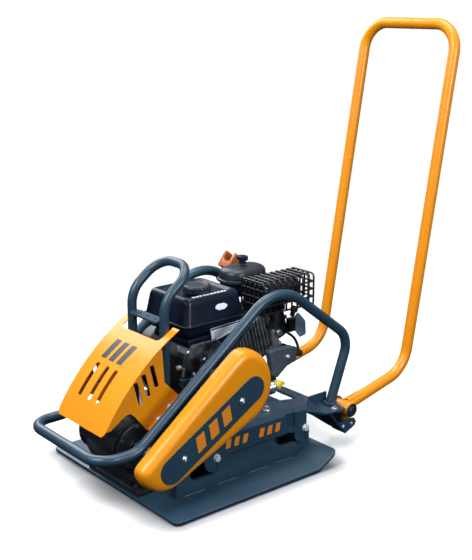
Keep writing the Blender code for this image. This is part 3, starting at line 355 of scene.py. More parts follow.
def add_seam(bm, points, size=0.0026):
    """A rippled weld bead along a line."""
    start, end = (Vector(p) for p in points)
    length = (end - start).length
    side, other = spokes_of((end - start).normalized())[:2]
    steps = max(8, int(length / 0.0012))
    rings = []
    for k in range(steps + 1):
        t = k / steps
        taper = min(1.0, 0.25 + min(t, 1 - t) * length / 0.003)
        fat = size * taper * (1.0 + 0.16 * cos(t * length / 0.0035 * tau))
        rings.append([start.lerp(end, t) + (side * cos(b) + other * sin(b)) * fat
                      for b in (tau * i / 10 for i in range(10))])
    add_rings(bm, rings)


def add_bolt(bm, centre, way, across=0.013, head=0.0075, washer=0.0):
    """A hexagon head with a chamfered top, on a washer if a washer's radius is given."""
    r = across / 2 / cos(pi / 6)
    base = 0.0
    if washer:
        base = 0.0018
        rim = [(0, 0), (washer, 0), (washer + 0.0001, 0.0004), (washer, base), (0, base)]
        add_lathe(bm, rim, centre, way)
    top = base + head
    add_lathe(bm, [(0, base), (r, base), (r, top - 0.0012), (r * 0.88, top), (0, top)], centre, way, 6)
    flange = [(0, base), (r * 1.12, base), (r * 1.1, base + 0.0012), (r * 0.9, base + 0.0018),
              (0, base + 0.0018)]
    add_lathe(bm, flange, centre, way, 28)


def add_dome(bm, centre, way, radius=0.007, height=0.004, socket=0.003):
    """A button head with a hexagon socket."""
    profile = [(0, 0), (radius, 0), (radius, height * 0.22)]
    profile += [(radius * cos(a), height * (0.22 + 0.78 * sin(a)))
                for a in (radians(d) for d in (15, 30, 45, 60, 72))]
    profile = [p for p in profile if p[0] > socket or p[1] == 0]
    profile += [(socket, height), (socket * 0.95, height * 0.35), (0, height * 0.3)]
    add_lathe(bm, profile, centre, way, 30)


def mesh_of(bm, name):
    bmesh.ops.recalc_face_normals(bm, faces=bm.faces)
    mesh = bpy.data.meshes.new(name)
    bm.to_mesh(mesh)
    bm.free()
    return mesh


def place(name, data):
    obj = bpy.data.objects.new(name, data)
    bpy.context.scene.collection.objects.link(obj)
    return obj


def piece(name, bm, slot, body="deck", mat=None, bevel=0.0, segments=2, smooth=38.0, stands_for=()):
    """Makes a shown piece from a bmesh, riding on a CAD body."""
    mesh = mesh_of(bm, name)
    mesh.shade_smooth()
    mesh.materials.append(mat or FINISH[slot])
    obj = place(name, mesh)
    if bevel:
        soften(obj, bevel, segments)
    else:
        mesh.set_sharp_from_angle(angle=radians(smooth))
    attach(obj, body)
    if stands_for:
        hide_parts(*stands_for)
    return obj


def make(name, slot, *shapes, **looks):
    """Makes a piece from shapes, each an add function followed by what it takes."""
    bm = bmesh.new()
    for add, *values in shapes:
        add(bm, *values)
    return piece(name, bm, slot, **looks)


def soften(obj, width, segments=2):
    made = obj.modifiers.new("soft_edges", "BEVEL")
    made.width = width
    made.segments = segments
    made.limit_method = "ANGLE"
    made.angle_limit = radians(34.0)
    made.harden_normals = True


def subtract(obj, *cutters):
    """Cuts closed shapes, each an add function followed by what it takes, before the object's bevel."""
    for k, (add, *values) in enumerate(cutters):
        bm = bmesh.new()
        add(bm, *values)
        tool = place("cutter", mesh_of(bm, "cutter"))
        waiting = [(m.width, m.segments) for m in obj.modifiers]
        obj.modifiers.clear()
        made = obj.modifiers.new("cut", "BOOLEAN")
        made.operation = "DIFFERENCE"
        made.object = tool
        bpy.context.view_layer.update()
        graph = bpy.context.evaluated_depsgraph_get()
        result = bpy.data.meshes.new_from_object(obj.evaluated_get(graph))
        obj.modifiers.clear()
        result.name = f"{obj.data.name}_cut{k}"
        obj.data = result
        bpy.data.objects.remove(tool, do_unlink=True)
        for width, segments in waiting:
            soften(obj, width, segments)


def from_cad(node, slot, bevel=0.001, segments=2, mat=None):
    """A CAD node's own shape with softened edges."""
    bm = bmesh.new()
    bm.from_mesh(frame["nodes"][node].data)
    bmesh.ops.remove_doubles(bm, verts=bm.verts, dist=2e-5)
    bmesh.ops.dissolve_limit(bm, angle_limit=radians(1.0), verts=bm.verts, edges=bm.edges)
    return piece(node + "_skin", bm, slot, BODY_OF[node], mat=mat, bevel=bevel, segments=segments,
                 stands_for=(node,))


# ---------------------------------------------------------------- driving dimensions, as in the CAD

DECK_TOP = 0.134
DECK_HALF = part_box("deck_plate")[1].x
RAIL_X, RAIL_R = 0.143, 0.012
RAIL_LOW = Vector((RAIL_X, -0.255, 0.138))
RAIL_APEX = Vector((RAIL_X, 0.138, 0.44))
RAIL_HEEL = Vector((RAIL_X, 0.372, 0.264))
RAIL_FOOT = Vector((RAIL_X, 0.3147, 0.1089))
BUMPER = Vector((RAIL_X, -0.35, 0.138))
HOOP_X, HOOP_Y, HOOP_R = 0.062, -0.122, 0.0108
HOOP_KNEE = Vector((HOOP_X, HOOP_Y, 0.426))
HOOP_TOP = Vector((HOOP_X, -0.042, 0.49))
PIVOT = JOINT_AT["handle"]
HANDLE_X, HANDLE_R = 0.1515, 0.014
HANDLE_BEND = Vector((HANDLE_X, 0.5697, 0.1386))
HANDLE_TOP = Vector((HANDLE_X, 0.7176, 1.001))
CRANK = JOINT_AT["crank"]
EXCITER = JOINT_AT["exciter"]

# ---------------------------------------------------------------- frame tubes and handle


def add_loop(bm, half, radii, steps, radius, sides):
    """A tube along half a path and back along its mirror image, with its corners rounded."""
    path = rounded(half + [p * MIRROR for p in half[::-1]], radii + radii[::-1], steps, closed=False)
    add_tube(bm, path, radius, sides)


def frame_tubes():
    make("frame_loop", "slate_paint",
         (add_loop, [RAIL_FOOT, RAIL_HEEL, RAIL_APEX, RAIL_LOW, BUMPER], [0, 0.055, 0.11, 0.06, 0.078], 16,
          RAIL_R, 40), stands_for=("bumper_tube", "side_rail_left", "side_rail_right"))
    foot = Vector((HOOP_X, HOOP_Y, DECK_TOP))
    make("hoop_tube", "slate_paint",
         (add_loop, [foot, HOOP_KNEE, HOOP_TOP], [0, 0.067, 0.05], 16, HOOP_R, 40),
         stands_for=("lifting_hoop",))
    low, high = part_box("hoop_cross_plate")
    plate = rounded(rect(low.x, low.y, high.x, high.y), 0.003, 3)
    bar = make("hoop_cross_bar", "slate_paint", (add_prism, plate, "Z", low.z, high.z), bevel=0.0008,
               stands_for=("hoop_cross_plate",))

    def add_holes(bm):
        for x in (-0.03, 0, 0.03):
            add_lathe(bm, disc(0.0036, 0.02, -0.02), (x, HOOP_Y, low.z), UP, 20)

    subtract(bar, (add_holes,))
    bm = bmesh.new()
    end = RAIL_FOOT + (RAIL_HEEL - RAIL_FOOT).normalized() * 0.001
    for s in SIDES:
        add_bead(bm, (s * HOOP_X, HOOP_Y, DECK_TOP + 0.001), UP, HOOP_R + 0.0008)
        add_bead(bm, (s * end.x, end.y - 0.0012, end.z - 0.002), UP, RAIL_R + 0.0012)
        seam_x = s * (HOOP_X - HOOP_R + 0.0002)
        for y in (HOOP_Y - 0.011, HOOP_Y + 0.011):
            add_seam(bm, [(seam_x, HOOP_Y + (y - HOOP_Y) * k, high.z) for k in (0.1, 1)], 0.0018)
    piece("frame_weld_beads", bm, "slate_paint", mat=SLATE_WELD, smooth=60.0)


def handle():
    pivot = Vector((HANDLE_X, PIVOT.y, PIVOT.z))
    reach = (HANDLE_BEND - pivot).normalized()
    make("handle_loop", "orange_paint",
         (add_loop, [pivot + reach * 0.017, HANDLE_BEND, HANDLE_TOP], [0, 0.085, 0.068], 18, HANDLE_R, 44),
         body="handle", stands_for=("handle_tube",))
    for side in ("left", "right"):
        from_cad(f"handle_pivot_{side}", "orange_paint", 0.0009)
    bm = bmesh.new()
    start = pivot + reach * 0.0185
    web = [(PIVOT.y + y, PIVOT.z + z)
           for y, z in ((0.004, 0.0168), (0.06, 0.0265), (0.062, 0.0215), (0.016, 0.0085))]
    for s in SIDES:
        add_bead(bm, (s * start.x, start.y, start.z), reach * MIRROR if s < 0 else reach, HANDLE_R - 0.0004,
                 0.0026, 22)
        for turn in (0.0075, -0.0075):
            x = s * (HANDLE_X + turn)
            add_prism(bm, web, "X", x - 0.0015, x + 0.0015)
    piece("handle_welds_and_webs", bm, "orange_paint", "handle", smooth=50.0)
    bm = bmesh.new()
    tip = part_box("pivot_bolt_left")[1].x - 0.0072
    washer = [(0, 0), (0.0172, 0), (0.0172, 0.0008), (0.0165, 0.0014), (0, 0.0014)]
    for s in SIDES:
        way = (s, 0, 0)
        centre = Vector((s * tip, PIVOT.y, PIVOT.z))
        inner = Vector((s * 0.1238, PIVOT.y, PIVOT.z))
        add_lathe(bm, washer, centre, way)
        add_bolt(bm, centre + Vector((s * 0.0012, 0, 0)), way, 0.019, 0.0056)
        add_bolt(bm, inner, (-s, 0, 0), 0.019, 0.0085, 0.0125)
        add_lathe(bm, disc(0.0098, 0.054), inner, way)
    piece("pivot_hardware", bm, "black_steel", smooth=BOLT_SMOOTH,
          stands_for=("pivot_bolt_left", "pivot_bolt_right"))
    upper = [(0.1704, 0.196, 0.1262), (0.18, 0.264, 0.1044), (0.13, 0.264, 0.1044), (0.132, 0.25, 0.1339)]
    for s, side in NAMED_SIDES:
        from_cad(f"handle_bracket_{side}", "slate_paint", 0.0009)
        web = [[(s * x, y, z - drop) for x, y, z in upper] for drop in (0.0045, 0.0)]
        make(f"bracket_web_{side}", "slate_paint", (add_rings, web),
             (add_block, (s * 0.121, 0.252, 0.103), (s * 0.125, 0.319, 0.13)), bevel=0.0009)
    make("bracket_rivets", "zinc_steel",
         *((add_dome, (s * 0.1705, y, 0.0475), (s, 0, 0), 0.0048, 0.0032, 0.0018)
           for s in SIDES for y in (0.333, 0.362)))


def handle_clip():
    from_cad("handle_clip", "amber_polyurethane", 0.0042, 4)
    low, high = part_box("handle_clip")
    down = (RAIL_HEEL - RAIL_APEX).normalized()
    along_rail = RAIL_APEX + down * ((low.y + high.y) / 2 - RAIL_APEX.y) / down.y
    inner, outer, half = RAIL_R + 0.0002, RAIL_R + 0.0022, 0.002
    band = [(inner, -half), (outer, -half), (outer, half), (inner, half)]
    bm = bmesh.new()
    for shift in (-0.016, 0.016):
        add_lathe(bm, band, (along_rail + down * shift) * MIRROR, down, 32, closed=True)
    bolt_at = (along_rail + down * -0.016) * MIRROR + Vector((0, 0.0, 0.014))
    add_bolt(bm, bolt_at, (0, -0.4, 0.9), 0.007, 0.005)
    piece("clip_clamps", bm, "zinc_steel")


# ---------------------------------------------------------------- hood

HOOD_HALF = 0.095
HOOD_SIDE, HOOD_SHEET = 0.0845, 0.0025
HOOD_LOW, HOOD_HIGH = Vector((-0.309, 0.169)), Vector((-0.106, 0.368))
HOOD_TURN = (radians(60.0), radians(29.0))
HOOD_RADIUS = (HOOD_HIGH - HOOD_LOW).length / (2 * sin((HOOD_TURN[0] - HOOD_TURN[1]) / 2))
HOOD_CENTRE = HOOD_LOW - HOOD_RADIUS * Vector((-sin(HOOD_TURN[0]), cos(HOOD_TURN[0])))


def hood_point(share, lift=0.0):
    """(y, z) on the hood's curve: share 0 is its front edge and 1 its top edge."""
    angle = HOOD_TURN[0] + (HOOD_TURN[1] - HOOD_TURN[0]) * share
    point = HOOD_CENTRE + (HOOD_RADIUS + lift) * Vector((-sin(angle), cos(angle)))
    return point.x, point.y


def hood_share(y):
    """The share along the hood's curve whose station is y."""
    angle = asin((HOOD_CENTRE.x - y) / HOOD_RADIUS)
    return (angle - HOOD_TURN[0]) / (HOOD_TURN[1] - HOOD_TURN[0])


def hood():
    steps = 56
    outline = [hood_point(k / steps) for k in range(steps + 1)]
    outline += [hood_point(k / steps, -HOOD_SHEET) for k in range(steps, -1, -1)]
    top = make("hood_top", "orange_paint", (add_prism, outline, "X", -HOOD_HALF, HOOD_HALF), bevel=0.0007,
               stands_for=("front_hood",))
    notch = rounded(rect(-0.073, -0.146, 0.073, 0.0), [0.012, 0.012, 0, 0], 8)
    cutters = [(add_prism, notch, "Z", 0.2, 0.6)]
    for x in (-0.049, -0.011, 0.022):
        slot = rounded(rect(x - 0.0065, -0.277, x + 0.0065, -0.222), 0.0022, 4)
        cutters.append((add_prism, slot, "Z", 0.1, 0.5))
    edge_z, reach = HOOD_LOW.y - HOOD_SHEET, 0.018
    for s in SIDES:
        wedge = [(s * (HOOD_HALF - reach), 0.1), (s * (HOOD_HALF + 0.01), 0.1),
                 (s * (HOOD_HALF + 0.01), edge_z + reach), (s * HOOD_HALF, edge_z + reach)]
        wedge += [(s * (HOOD_HALF - reach + reach * cos(a)), edge_z + reach - reach * sin(a))
                  for a in (radians(9 * k) for k in range(1, 10))]
        wedge.append((s * (HOOD_HALF - reach), edge_z))
        cutters.append((add_prism, wedge, "Y", -0.4, -0.25))
    subtract(top, *cutters)

    rim = [hood_point(k / 40, -HOOD_SHEET * 0.6) for k in range(41)]
    rim = [p for p in rim if p[0] <= -0.148]
    panel = [*rim, (-0.144, 0.324), (-0.14, 0.252), (-0.101, 0.212), (-0.184, 0.153), (-0.19, 0.153),
             (-0.219, 0.19), (-0.232, 0.202), (-0.244, 0.2), (-0.282, 0.175), (-0.297, 0.175)]
    flange = [(-0.186, 0.1515), (-0.101, 0.212), (-0.1024, 0.214), (-0.1874, 0.1535)]
    tall, wide = 0.026, 0.0055
    lean = tan(radians(14.0)) * tall
    vents = [rounded(slanted(y, z, wide, -tall, lean), 0.0018, 3)
             for y, z in ((-0.21, 0.242), (-0.189, 0.256), (-0.167, 0.272))]
    for s, side in NAMED_SIDES:
        low, high = sorted((s * HOOD_SIDE, s * (HOOD_SIDE - HOOD_SHEET)))
        sheet = make(f"hood_side_{side}", "orange_paint", (add_prism, panel, "X", low, high), bevel=0.0007)
        subtract(sheet, *((add_prism, vent, "X", low - 0.01, high + 0.01) for vent in vents))
        low, high = sorted((s * (HOOD_SIDE - HOOD_SHEET), s * 0.108))
        make(f"hood_flange_{side}", "orange_paint", (add_prism, flange, "X", low, high), bevel=0.0006)
    way = (0, -sin(radians(35.0)), cos(radians(35.0)))
    make("hood_flange_bolts", "zinc_steel",
         *((add_bolt, (s * 0.093, y, z), way, 0.0095, 0.0055, 0.007)
           for s in SIDES for y, z in ((-0.131, 0.193), (-0.162, 0.1712))),
         mat=BRIGHT_ZINC, smooth=BOLT_SMOOTH)
    from_cad("hood_bracket", "black_steel", 0.0008)

    bm = bmesh.new()
    low_share, high_share = hood_share(-0.213), hood_share(-0.172)
    first, pitch, wide, lean, steps = -0.048, 0.03, 0.019, 0.008, 8
    for k in range(3):
        rows = []
        for i in range(steps + 1):
            t = i / steps
            share = low_share + (high_share - low_share) * t
            left = first + k * pitch - lean * (1 - t)
            right = left + wide
            edges = ((left, 0.0004), (right, 0.0004), (right, -0.0002), (left, -0.0002))
            rows.append([(x, *hood_point(share, lift)) for x, lift in edges])
        add_rings(bm, rows)
    piece("hood_mark", bm, "slate_paint", mat=SLATE_INK)


# ---------------------------------------------------------------- belt guard

GUARD_IN, GUARD_OUT = 0.1715, 0.2055
GUARD_LOW = (EXCITER.y - 0.005, EXCITER.z + 0.008, 0.069)     # centre Y, centre Z, radius
GUARD_HIGH = (CRANK.y - 0.003, CRANK.z + 0.002, 0.088)
GUARD_RISE, GUARD_BLEND = 0.004, 0.006


def guard_outline(inset):
    """The outline around both pulleys, its upper side drawn in to lie beside the rail."""
    y_low, z_low, r_low = GUARD_LOW
    y_high, z_high, r_high = GUARD_HIGH
    line = Vector((y_high - y_low, z_high - z_low))
    lean = degrees(atan2(line.y, line.x))
    open_angle = degrees(asin((r_high - r_low) / line.length))
    start, sweep = lean - 90.0 - open_angle, 180.0 + 2 * open_angle
    big = circle(y_high, z_high, r_high - inset, 64, start, sweep)
    small = circle(y_low, z_low, r_low - inset, 56, start + sweep, 360.0 - sweep)
    side = [tuple(Vector(big[-1]).lerp(Vector(small[0]), k / 16)) for k in range(1, 16)]
    back = [tuple(Vector(small[-1]).lerp(Vector(big[0]), k / 8)) for k in range(1, 8)]
    rail_way = (RAIL_APEX.yz - RAIL_LOW.yz).normalized()
    square = Vector((-rail_way.y, rail_way.x))
    outline = []
    for point in map(Vector, big + side + small + back):
        over = (point - RAIL_LOW.yz).dot(square) - GUARD_RISE + inset
        drawn = GUARD_BLEND * log1p(exp(over / GUARD_BLEND))
        outline.append(tuple(point - square * drawn))
    return outline


def belt_guard():
    shoulder, wall = 0.021, 0.0025
    arc = [(shoulder * sin(radians(a)), shoulder * (1 - cos(radians(a))))
           for a in range(0, 91, 9)]

    def skin(thick):
        outer_x = GUARD_OUT - thick
        stations = [(GUARD_IN, 0.0)] + [(outer_x - shoulder + dx, di) for dx, di in arc]
        return [[(x, y, z) for y, z in guard_outline(inset + thick)] for x, inset in stations]

    make("belt_guard_shell", "orange_paint", (add_rings, skin(0.0)[::-1] + skin(wall)), smooth=50.0,
         stands_for=("belt_guard",))
    from_cad("guard_back_plate", "black_steel", 0.0005)

    low, high = (-0.2095, 0.1062, 0.031), (0.0125, 0.2342, 0.03)     # centre Y, centre Z, radius
    line = Vector((high[0] - low[0], high[1] - low[1]))
    lean = degrees(atan2(line.y, line.x))
    outline = circle(*high, 28, lean - 90.0, 180.0) + circle(*low, 28, lean + 90.0, 180.0)
    face = GUARD_OUT + 0.0018
    make("guard_strip", "slate_paint", (add_prism, outline, "X", GUARD_OUT + 0.0001, face), bevel=0.0006,
         stands_for=("guard_label_strip",))
    bm = bmesh.new()
    for y, z in ((-0.179, 0.1238), (-0.021, 0.2148)):
        add_lathe(bm, disc(0.0085, 0.001), (face, y, z), (1, 0, 0))
        add_dome(bm, (face + 0.0009, y, z), (1, 0, 0), 0.007, 0.0042, 0.0022)
    piece("guard_screws", bm, "zinc_steel")
    bm = bmesh.new()
    way = line.normalized()
    square = Vector((-way.y, way.x))
    middle = Vector(((low[0] + high[0]) / 2 - 0.001, (low[1] + high[1]) / 2 + 0.001))
    pitch, tall, wide, slant = 0.041, 0.0175, 0.0125, 0.006
    for k in (-1, 0, 1):
        centre = middle + way * k * pitch
        corners = [centre + way * (a * wide + b * slant) + square * b * tall
                   for a, b in ((-1, -1), (1, -1), (1, 1), (-1, 1))]
        add_prism(bm, rounded([tuple(c) for c in corners], 0.0015, 3), "X", face - 0.0002, face + 0.0005)
    piece("guard_mark", bm, "orange_paint", mat=ORANGE_INK)


# ---------------------------------------------------------------- deck and base


def deck():
    plate = from_cad("deck_plate", "slate_paint", 0.0012)
    slits = []
    for s in SIDES:
        low, high = sorted((s * (DECK_HALF + 0.01), s * (DECK_HALF - 0.012)))
        for y in (0.204, -0.065):
            slit = [(y, 0.08), (y + 0.002, 0.08), (y + 0.006, 0.03), (y + 0.004, 0.03)]
            slits.append((add_prism, slit, "X", low, high))
    subtract(plate, *slits)
    make("mount_bolts", "zinc_steel",
         *((add_bolt, (s * DECK_HALF, y, 0.08), (s, 0, 0), 0.0145, 0.0066)
           for s in SIDES for y in (-0.064, 0.205)), mat=BRIGHT_ZINC, smooth=BOLT_SMOOTH)
    make("deck_notch_webs", "slate_paint",
         *((add_prism, rect(0.142, 0.089, 0.172, 0.128), "X", *sorted((s * 0.1635, s * 0.166)))
           for s in SIDES))
    bm = bmesh.new()
    for s in SIDES:
        for x, y, z in ((0.13, 0.118, DECK_TOP), (0.13, -0.02, DECK_TOP), (0.058, -0.072, DECK_TOP + 0.016),
                        (0.058, 0.066, DECK_TOP + 0.016)):
            add_bolt(bm, (s * x, y, z), UP, 0.012, 0.007, 0.01)
        for x, y in ((0.134, 0.255), (0.172, 0.3)):
            add_bolt(bm, (s * x, y, 0.104), UP, 0.01, 0.0055, 0.008)
    piece("deck_bolts", bm, "zinc_steel", smooth=BOLT_SMOOTH)
    first, pitch = -0.03, 0.0245
    bars = [rounded(slanted(first + k * pitch, 0.1048, 0.0068, 0.0105, 0.0022), 0.0012, 3)
            for k in (0, 1, 2, 4, 5, 6)]
    make("deck_mark", "orange_paint",
         *((add_prism, bar, "X", DECK_HALF - 0.0002, DECK_HALF + 0.0005) for bar in bars), mat=ORANGE_INK)


def base():
    from_cad("base_plate", "slate_paint", 0.0018, 3)
    for node in ("base_rib_left", "base_rib_right", "mount_beam_front", "mount_beam_rear"):
        from_cad(node, "slate_paint", 0.0009)
    for corner in ("front_left", "front_right", "rear_left", "rear_right"):
        from_cad(f"rubber_mount_{corner}", "black_rubber", 0.0016)
    from_cad("exciter_housing", "black_steel", 0.0016)
    for side in ("left", "right"):
        from_cad(f"exciter_cover_{side}", "black_steel")
    bm = bmesh.new()
    edge, bolt_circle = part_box("exciter_cover_left")[1].x, 0.046
    for s in SIDES:
        for a in (radians(30 + 60 * k) for k in range(6)):
            spot = (s * edge, EXCITER.y + bolt_circle * cos(a), EXCITER.z + bolt_circle * sin(a))
            add_bolt(bm, spot, (s, 0, 0), 0.008, 0.0045)
        for y in (-0.222, -0.16):
            add_bolt(bm, (s * 0.086, y, 0.0225), UP, 0.013, 0.0075, 0.011)
    piece("exciter_bolts", bm, "black_steel", "base", smooth=BOLT_SMOOTH)
    make("base_weld_beads", "slate_paint",
         *((add_seam, [(s * x, y, 0.0108) for y in ends]) for s in SIDES for x in (0.1516, 0.1624)
           for ends in ((-0.15, -0.09), (-0.06, 0.0), (0.03, 0.095), (0.115, 0.172))),
         body="base", mat=SLATE_WELD, smooth=60.0)
    # painted shadow: thin dark strips on the ribs just under the deck's lower edge, standing in for the shade that
    # edge casts
    make("rib_painted_shadow_strips", "black_rubber",
         *((add_prism, rect(-0.024, 0.0742, 0.15, 0.086), "X", *sorted((s * 0.162, s * 0.163)))
           for s in SIDES), body="base", mat=PAINTED_SHADE)


# ---------------------------------------------------------------- engine

ENGINE_LEAN = radians(15.0)


def plan_ring(low, high, z, inset, radius, steps=8):
    corners = rect(low.x + inset, low.y + inset, high.x - inset, high.y - inset)
    return [(x, y, z) for x, y in rounded(corners, max(radius, 0.002), steps)]


def fuel_tank():
    low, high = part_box("fuel_tank")
    # height, inset from the box, corner radius
    stations = [
        (0.3262, 0.02, 0.012), (0.33, 0.0135, 0.014), (0.3345, 0.0095, 0.016), (0.354, 0.0042, 0.017),
        (0.356, 0.0036, 0.017), (0.3566, 0.0006, 0.018), (0.3574, 0.0, 0.018), (0.3596, 0.0, 0.018),
        (0.3604, 0.0006, 0.018), (0.361, 0.0036, 0.017), (0.364, 0.0044, 0.017), (0.405, 0.0112, 0.016),
        (0.4095, 0.0124, 0.0155), (0.4135, 0.0143, 0.015), (0.4165, 0.0168, 0.0145),
        (0.4185, 0.0198, 0.014), (0.4193, 0.0232, 0.0135), (0.4188, 0.0262, 0.013), (0.4168, 0.029, 0.012),
        (0.4152, 0.0308, 0.011), (0.4148, 0.035, 0.01)]
    make("tank_shell", "engine_black", (add_rings, [plan_ring(low, high, *station) for station in stations]),
         smooth=48.0, stands_for=("fuel_tank",))
    spot = Vector((*JOINT_AT["cap"].xy, 0.0))
    neck = [(0, 0.414), (0.026, 0.414), (0.026, 0.4165), (0.024, 0.4185), (0.024, 0.4235), (0, 0.4235)]
    make("tank_neck", "engine_black", (add_lathe, neck, spot, UP, 40))
    profile = [(0.0, 0.424), (0.0245, 0.424), (0.0245, 0.4198), (0.0318, 0.4198), (0.0328, 0.421),
               (0.0328, 0.4318), (0.0318, 0.4346), (0.0292, 0.4366), (0.0262, 0.4372), (0.0246, 0.4366),
               (0.0238, 0.436), (0.014, 0.4362), (0.0, 0.4364)]
    bm = bmesh.new()
    add_lathe(bm, profile, spot, UP, 108, lobes=12, lobe_depth=0.016)
    piece("tank_cap", bm, "dark_plastic", "cap", smooth=50.0, stands_for=("fuel_cap",))
    slope = (0.0112 - 0.0044) / (0.405 - 0.364)
    badge = rounded([(0.01, 0.389), (0.024, 0.396), (0.04, 0.396), (0.054, 0.389), (0.04, 0.382),
                     (0.024, 0.382)], 0.004, 5)
    sheets = [[(high.x - 0.0044 - slope * (z - 0.364) + lift, y, z) for y, z in badge]
              for lift in (-0.001, 0.0008)]
    make("tank_badge", "zinc_steel", (add_rings, sheets), mat=LABEL, bevel=0.0005)
    strip_in, strip_out = high.x - 0.0262, high.x - 0.0202
    strip = rect(strip_in, -0.04, strip_out, 0.056)
    make("tank_strip", "zinc_steel", (add_prism, strip, "Z", 0.417, 0.41965), mat=LABEL)
    margin, first, pitch, long = 0.0012, -0.034, 0.0102, 0.005
    blocks = [rect(strip_in + margin, y, strip_out - margin, y + long)
              for y in (first + k * pitch for k in range(9))]
    make("tank_strip_blocks", "engine_black", *((add_prism, block, "Z", 0.418, 0.41985) for block in blocks))


def engine_block():
    from_cad("crankcase", "cast_aluminium", 0.0022, 3)
    from_cad("valve_cover", "engine_black", 0.003, 3)
    from_cad("carburettor", "cast_aluminium", 0.0015)
    from_cad("spark_plug", "dark_plastic", 0.0006)
    cowl = rounded([(-0.066, 0.302), (-0.066, 0.328), (0.1, 0.333), (0.104, 0.318), (0.086, 0.298),
                    (0.01, 0.292)], 0.008, 5)
    make("cooling_cowl", "engine_black", (add_prism, cowl, "X", -0.058, 0.0745), bevel=0.0025, segments=3)
    plate = rounded([(-0.004, 0.344), (0.088, 0.3486), (0.086, 0.334), (0.001, 0.3112)], 0.002, 3)
    make("rating_plate", "zinc_steel", (add_prism, plate, "X", 0.0738, 0.0762), mat=LABEL)
    bm = bmesh.new()
    rules, left, right = 4, 0.006, 0.08
    for k in range(rules):
        z0, z1 = 0.3172 + k * 0.0052, 0.3352 + k * 0.002
        rule = [(left, z0), (left, z0 + 0.0014), (right, z1 + 0.001), (right, z1)]
        add_prism(bm, rule, "X", 0.0761, 0.0765)
    piece("rating_plate_rules", bm, "engine_black", mat=LABEL_INK)
    band = [(-0.003, 0.3396), (-0.0036, 0.3436), (0.0876, 0.348), (0.0872, 0.3448)]
    make("rating_plate_band", "engine_black", (add_prism, band, "X", 0.0761, 0.0766), mat=LABEL_BLUE)
    stay = rounded([(-0.1, 0.327), (-0.064, 0.3085), (-0.01, 0.28), (-0.022, 0.267), (-0.07, 0.296),
                    (-0.101, 0.314)], 0.003, 4)
    make("engine_stay", "cast_aluminium", (add_prism, stay, "X", 0.0765, 0.0795),
         (add_block, (0.072, -0.078, 0.296), (0.0765, -0.064, 0.306)), mat=FIN_GREY, bevel=0.0008)
    make("engine_foot_pad", "slate_paint", (add_block, (0.07, -0.09, 0.224), (0.085, -0.04, 0.244)),
         bevel=0.002, segments=3)
    fitting = [(0.0, 0.0), (0.0055, 0.0), (0.0055, 0.004), (0.0035, 0.005), (0.0035, 0.009), (0.005, 0.01),
               (0.005, 0.013), (0.0, 0.014)]
    stud = [(0.0, 0.0), (0.0038, 0.0), (0.0038, 0.02), (0.0, 0.0205)]
    make("engine_fittings", "zinc_steel", (add_lathe, fitting, (0.07, -0.088, 0.27), (0.55, -0.8, 0.25), 24),
         (add_lathe, stud, (0.0795, -0.085, 0.25), (0.1, 0.0, 1.0), 20),
         *((add_bolt, (0.0795, y, z), (1, 0, 0), 0.008, 0.0045)
           for y, z in ((-0.07, 0.302), (-0.026, 0.278))))
    cylinder()


def tilted(t, height, x):
    """A point from its way along the leaning cylinder, its height above the axis, and x."""
    return Vector((x, CRANK.y + t * cos(ENGINE_LEAN) - height * sin(ENGINE_LEAN),
                   CRANK.z + t * sin(ENGINE_LEAN) + height * cos(ENGINE_LEAN)))


def cylinder():
    def ring(t, half, corner):
        return [tilted(t, h, x) for x, h in rounded(rect(-half, -half, half, half), corner, 5)]

    fins, first_fin, fin_step = 13, 0.08, 0.0098
    barrel_fins, barrel_half, head_half, uneven, rounding = 8, 0.0525, 0.056, 0.001, 0.0012
    bm = bmesh.new()
    add_rings(bm, [ring(0.078, 0.037, 0.014), ring(0.215, 0.037, 0.014)])
    for k in range(fins):
        t = first_fin + k * fin_step
        big = barrel_half if k < barrel_fins else head_half
        big += uneven * sin(1.9 * k)
        add_rings(bm, [ring(t, big - rounding, 0.012), ring(t + 0.0006, big, 0.013),
                       ring(t + 0.0018, big, 0.013), ring(t + 0.0024, big - rounding, 0.012)])
    add_rings(bm, [ring(0.2125, 0.053, 0.01), ring(0.214, 0.0545, 0.011), ring(0.232, 0.0545, 0.011),
                   ring(0.2335, 0.053, 0.01)])
    for x, h in ((-0.046, 0.046), (0.046, 0.046), (-0.046, -0.046), (0.046, -0.046)):
        add_tube(bm, [tilted(0.076, h, x), tilted(0.214, h, x)], 0.0042, 16)
    piece("cylinder_fins", bm, "cast_aluminium", mat=FIN_GREY, smooth=40.0, stands_for=("finned_cylinder",))
    bm = bmesh.new()
    way = tilted(1, 0, 0) - tilted(0, 0, 0)
    for x, h in ((-0.0445, 0.047), (0.0445, 0.047), (-0.0445, -0.047), (0.0445, -0.047)):
        add_bolt(bm, tilted(0.2335, h, x), way, 0.012, 0.007, 0.0085)
    for x in (-0.0288, 0.0288):
        add_bolt(bm, tilted(0.2836, 0.0, x), way, 0.009, 0.0045)
    for y, z in ((-0.056, 0.25), (-0.056, 0.21), (0.035, 0.252), (0.035, 0.198)):
        add_bolt(bm, (0.08, y, z), (1, 0, 0), 0.008, 0.0048)
    add_bolt(bm, (0.06, 0.217, 0.286), (1, 0, 0), 0.01, 0.006, 0.008)
    add_bolt(bm, (0.0804, 0.229, 0.227), (1, 0, 0), 0.009, 0.0052, 0.0072)
    piece("engine_bolts", bm, "zinc_steel", smooth=BOLT_SMOOTH)


